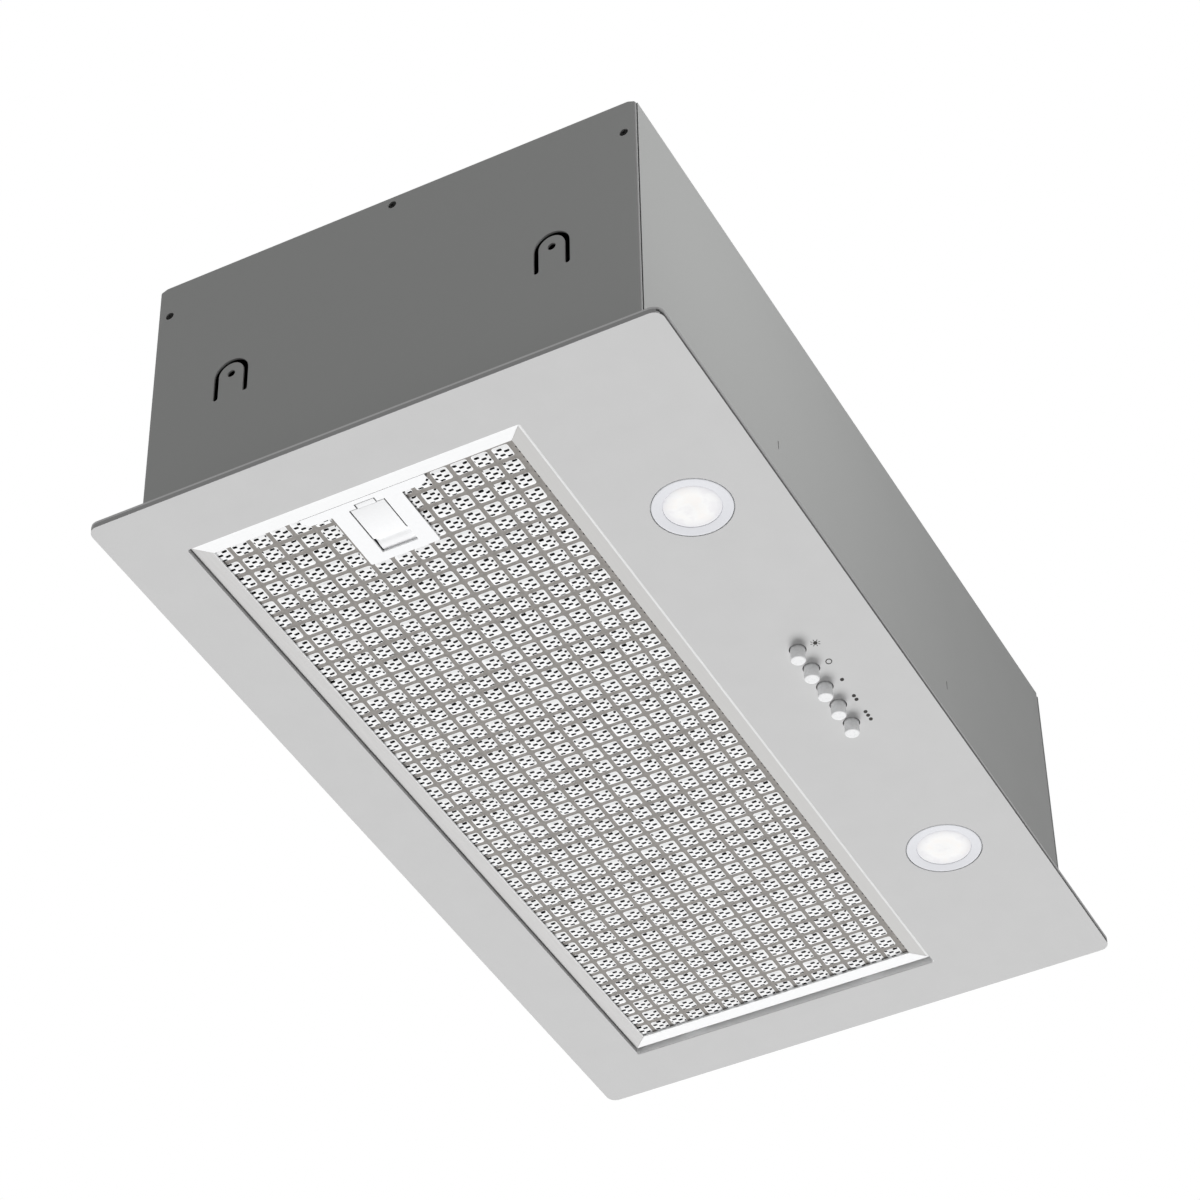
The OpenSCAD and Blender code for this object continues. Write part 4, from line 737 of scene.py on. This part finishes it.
def lamps():
    """The ring and the lens of both lamps."""
    bezel = [(17.9, -2.5), (17.9, -3.2)] + arc(17.6, -3.2, 0.3, 0, -90, 4)
    bezel += [(17.0, -3.5), (13.3, -3.02)] + arc(13.25, -2.8, 0.22, -100, -180, 4)
    bezel += [(13.03, -1.5), (15.6, -1.5), (15.6, 1.5), (16.5, 1.5), (16.5, -2.5), (17.9, -2.5)]
    glass = [(0, -2.84), (8, -2.86), (12, -2.9), (12.75, -2.86), (12.96, -2.7), (12.96, -1.5),
             (15.5, -1.5), (15.5, -0.3), (0, -0.3)]
    for side, x in [("left", -LAMP_X), ("right", LAMP_X)]:
        for name, profile, finish, node in [("lamp_bezel_", bezel, "white_plastic", "lamp_ring_"),
                                            ("lamp_glass_", glass, "frosted_lens", "lamp_lens_")]:
            bm = bmesh.new()
            lathe(bm, profile, x, CONTROL_Y, 128)
            from_bmesh(name + side, bm, [MATS[finish]], node=node + side)


lamps()


def symbols():
    """The printed symbols below the buttons, as thin layers of ink on the panel's face."""
    bm = bmesh.new()
    top, ink = PANEL_Z + 0.01, PANEL_Z - 0.03
    y, sun_x, ring_x, dots_x = -107.0, -29.4, -15.1, [-0.9, 11.9, 14.8, 24.65, 27.5, 30.5]

    def patch(points):
        low = [bm.verts.new((x, y, ink)) for x, y in points]
        high = [bm.verts.new((x, y, top)) for x, y in points]
        bm.faces.new(reversed(low))
        band(bm, low, high)

    def oval(x, r, count):
        """Points round a spot that is a little longer to the right and rear."""
        ux, uy, long, short = 0.887, 0.462, 1.18, 0.95
        return [(x + a * long * ux - b * short * uy, y + a * long * uy + b * short * ux)
                for a, b in ring_points(0, 0, r, count)]

    patch(oval(sun_x, 1.05, 32))
    rays, half_w = 8, 0.17
    for k in range(rays):
        a = 2 * math.pi * k / rays
        ux, uy = math.cos(a), math.sin(a)
        patch([(sun_x + ux * r - uy * s * half_w, y + uy * r + ux * s * half_w)
               for r, s in [(1.4, -1), (2.4, -1), (2.4, 1), (1.4, 1)]])
    sides = 48
    outer, inner = oval(ring_x, 1.62, sides), oval(ring_x, 1.14, sides)
    for i in range(sides):
        j = (i + 1) % sides
        patch([outer[i], outer[j], inner[j], inner[i]])
    for x in dots_x:
        patch(oval(x, 0.97, 32))
    bmesh.ops.recalc_face_normals(bm, faces=bm.faces)
    from_bmesh("panel_symbols", bm, [MATS["ink"]], body="casing", slot="dark_plastic")


symbols()


def camera():
    """The camera that was fitted to the photograph."""
    right = Vector((0.4621055566, -0.8866918989, -0.0153600446))
    down = Vector((0.5879413836, 0.3192844540, -0.7432243045))
    forward = Vector((0.6639151933, 0.3344172751, 0.6688659822))
    cam = linked("camera", bpy.data.cameras.new("camera"))
    cam.data.sensor_width = 36
    cam.data.lens = 114.405
    cam.data.clip_end = 50
    turn = Matrix((right, -down, -forward)).transposed().to_4x4()
    cam.matrix_world = Matrix.Translation(Vector((-1.217627, -0.598160, -1.128637))) @ turn
    bpy.context.scene.camera = cam


def area(name, place, aim, size, strength):
    """A soft square lamp. strength is what it adds to a white surface at its aim, facing it."""
    light = bpy.data.lights.new(name, "AREA")
    light.shape = "SQUARE"
    light.size = size
    d = Vector(aim) - Vector(place)
    light.energy = strength * math.pi * d.length_squared * math.pi
    obj = linked(name, light)
    obj.location = place
    obj.rotation_euler = d.to_track_quat("-Z", "Y").to_euler()
    obj.visible_camera = False
    obj.visible_glossy = False
    return obj


def link_group(name, wanted):
    """A collection of the mesh objects whose names pass the test, for the lamps to pick from."""
    group = bpy.data.collections.new(name)
    for obj in bpy.context.scene.objects:
        if obj.type == "MESH" and wanted(obj.name):
            group.objects.link(obj)
    return group


def light_path_mix(nt, lit, white, out):
    """Shows white to camera, glossy and transmission rays, and lit to all others."""
    path = shader(nt, "LightPath")
    seen = path.outputs["Is Camera Ray"]
    for name in ["Is Glossy Ray", "Is Transmission Ray"]:
        seen = maths(nt, "MAXIMUM", seen, path.outputs[name])
    mix = shader(nt, "MixShader", {0: seen, 1: lit, 2: white})
    nt.links.new(mix.outputs[0], out)


def backdrop():
    """A world that looks white and lights the part with less than that."""
    world = bpy.data.worlds.new("studio")
    bpy.context.scene.world = world
    world.use_nodes = True
    nt = world.node_tree
    nt.nodes.clear()
    soft, white = [shader(nt, "Background", {"Color": (1, 1, 1, 1), "Strength": strength})
                   for strength in (0.4, 1.0)]
    out = shader(nt, "OutputWorld")
    light_path_mix(nt, soft.outputs[0], white.outputs[0], out.inputs["Surface"])


def white_floor():
    """A floor that takes shadows near the part and fades to plain white further out."""
    bm = bmesh.new()
    bmesh.ops.create_grid(bm, x_segments=8, y_segments=8, size=4)
    data = bpy.data.meshes.new("floor")
    bm.to_mesh(data)
    bm.free()
    floor = linked("floor", data)
    floor.location = (0, 0, -2.7)
    m, nt, bsdf = new_material("floor_white")
    feed(nt, bsdf, {"Base Color": (0.8, 0.8, 0.8, 1), "Roughness": 0.9})
    glow = shader(nt, "Emission", {"Strength": 1.0})
    place = shader(nt, "TexCoord").outputs["Object"]
    reach = shader(nt, "VectorMath", {0: place}, operation="LENGTH").outputs["Value"]
    fade = shader(nt, "MapRange", {"Value": reach, "From Min": 1.2, "From Max": 3.8,
                                   "To Min": 0.85, "To Max": 1.0})
    white = shader(nt, "MixShader", {0: fade.outputs["Result"], 1: bsdf.outputs[0],
                                     2: glow.outputs[0]})
    out = nt.nodes["Material Output"].inputs["Surface"]
    light_path_mix(nt, bsdf.outputs[0], white.outputs[0], out)
    data.materials.append(m)


def studio():
    """The backdrop, the floor, and the lamps below, in front and above."""
    backdrop()
    white_floor()
    light = bpy.data.lights.new("lamp_below", "SUN")
    light.energy = 0.9 * math.pi
    light.angle = math.radians(34)
    sun = linked("lamp_below", light)
    sun.rotation_euler = Vector((-2.2, -1.15, 2.5)).to_track_quat("-Z", "Y").to_euler()
    sun.visible_glossy = False
    sun.light_linking.blocker_collection = link_group("sun_blockers", lambda name: name != "floor")
    front = area("lamp_front", (-0.2, -0.46, 0.14), (-0.19, -0.12, 0.09), 0.24, 0.86)
    front.light_linking.receiver_collection = link_group(
        "front_lit", lambda name: not name.startswith("face_panel"))
    area("lamp_above", (0.4, 0.6, 1.8), (0, 0, 0.1), 1.6, 0.4)
    bpy.context.scene.view_settings.view_transform = "Standard"


camera()
studio()
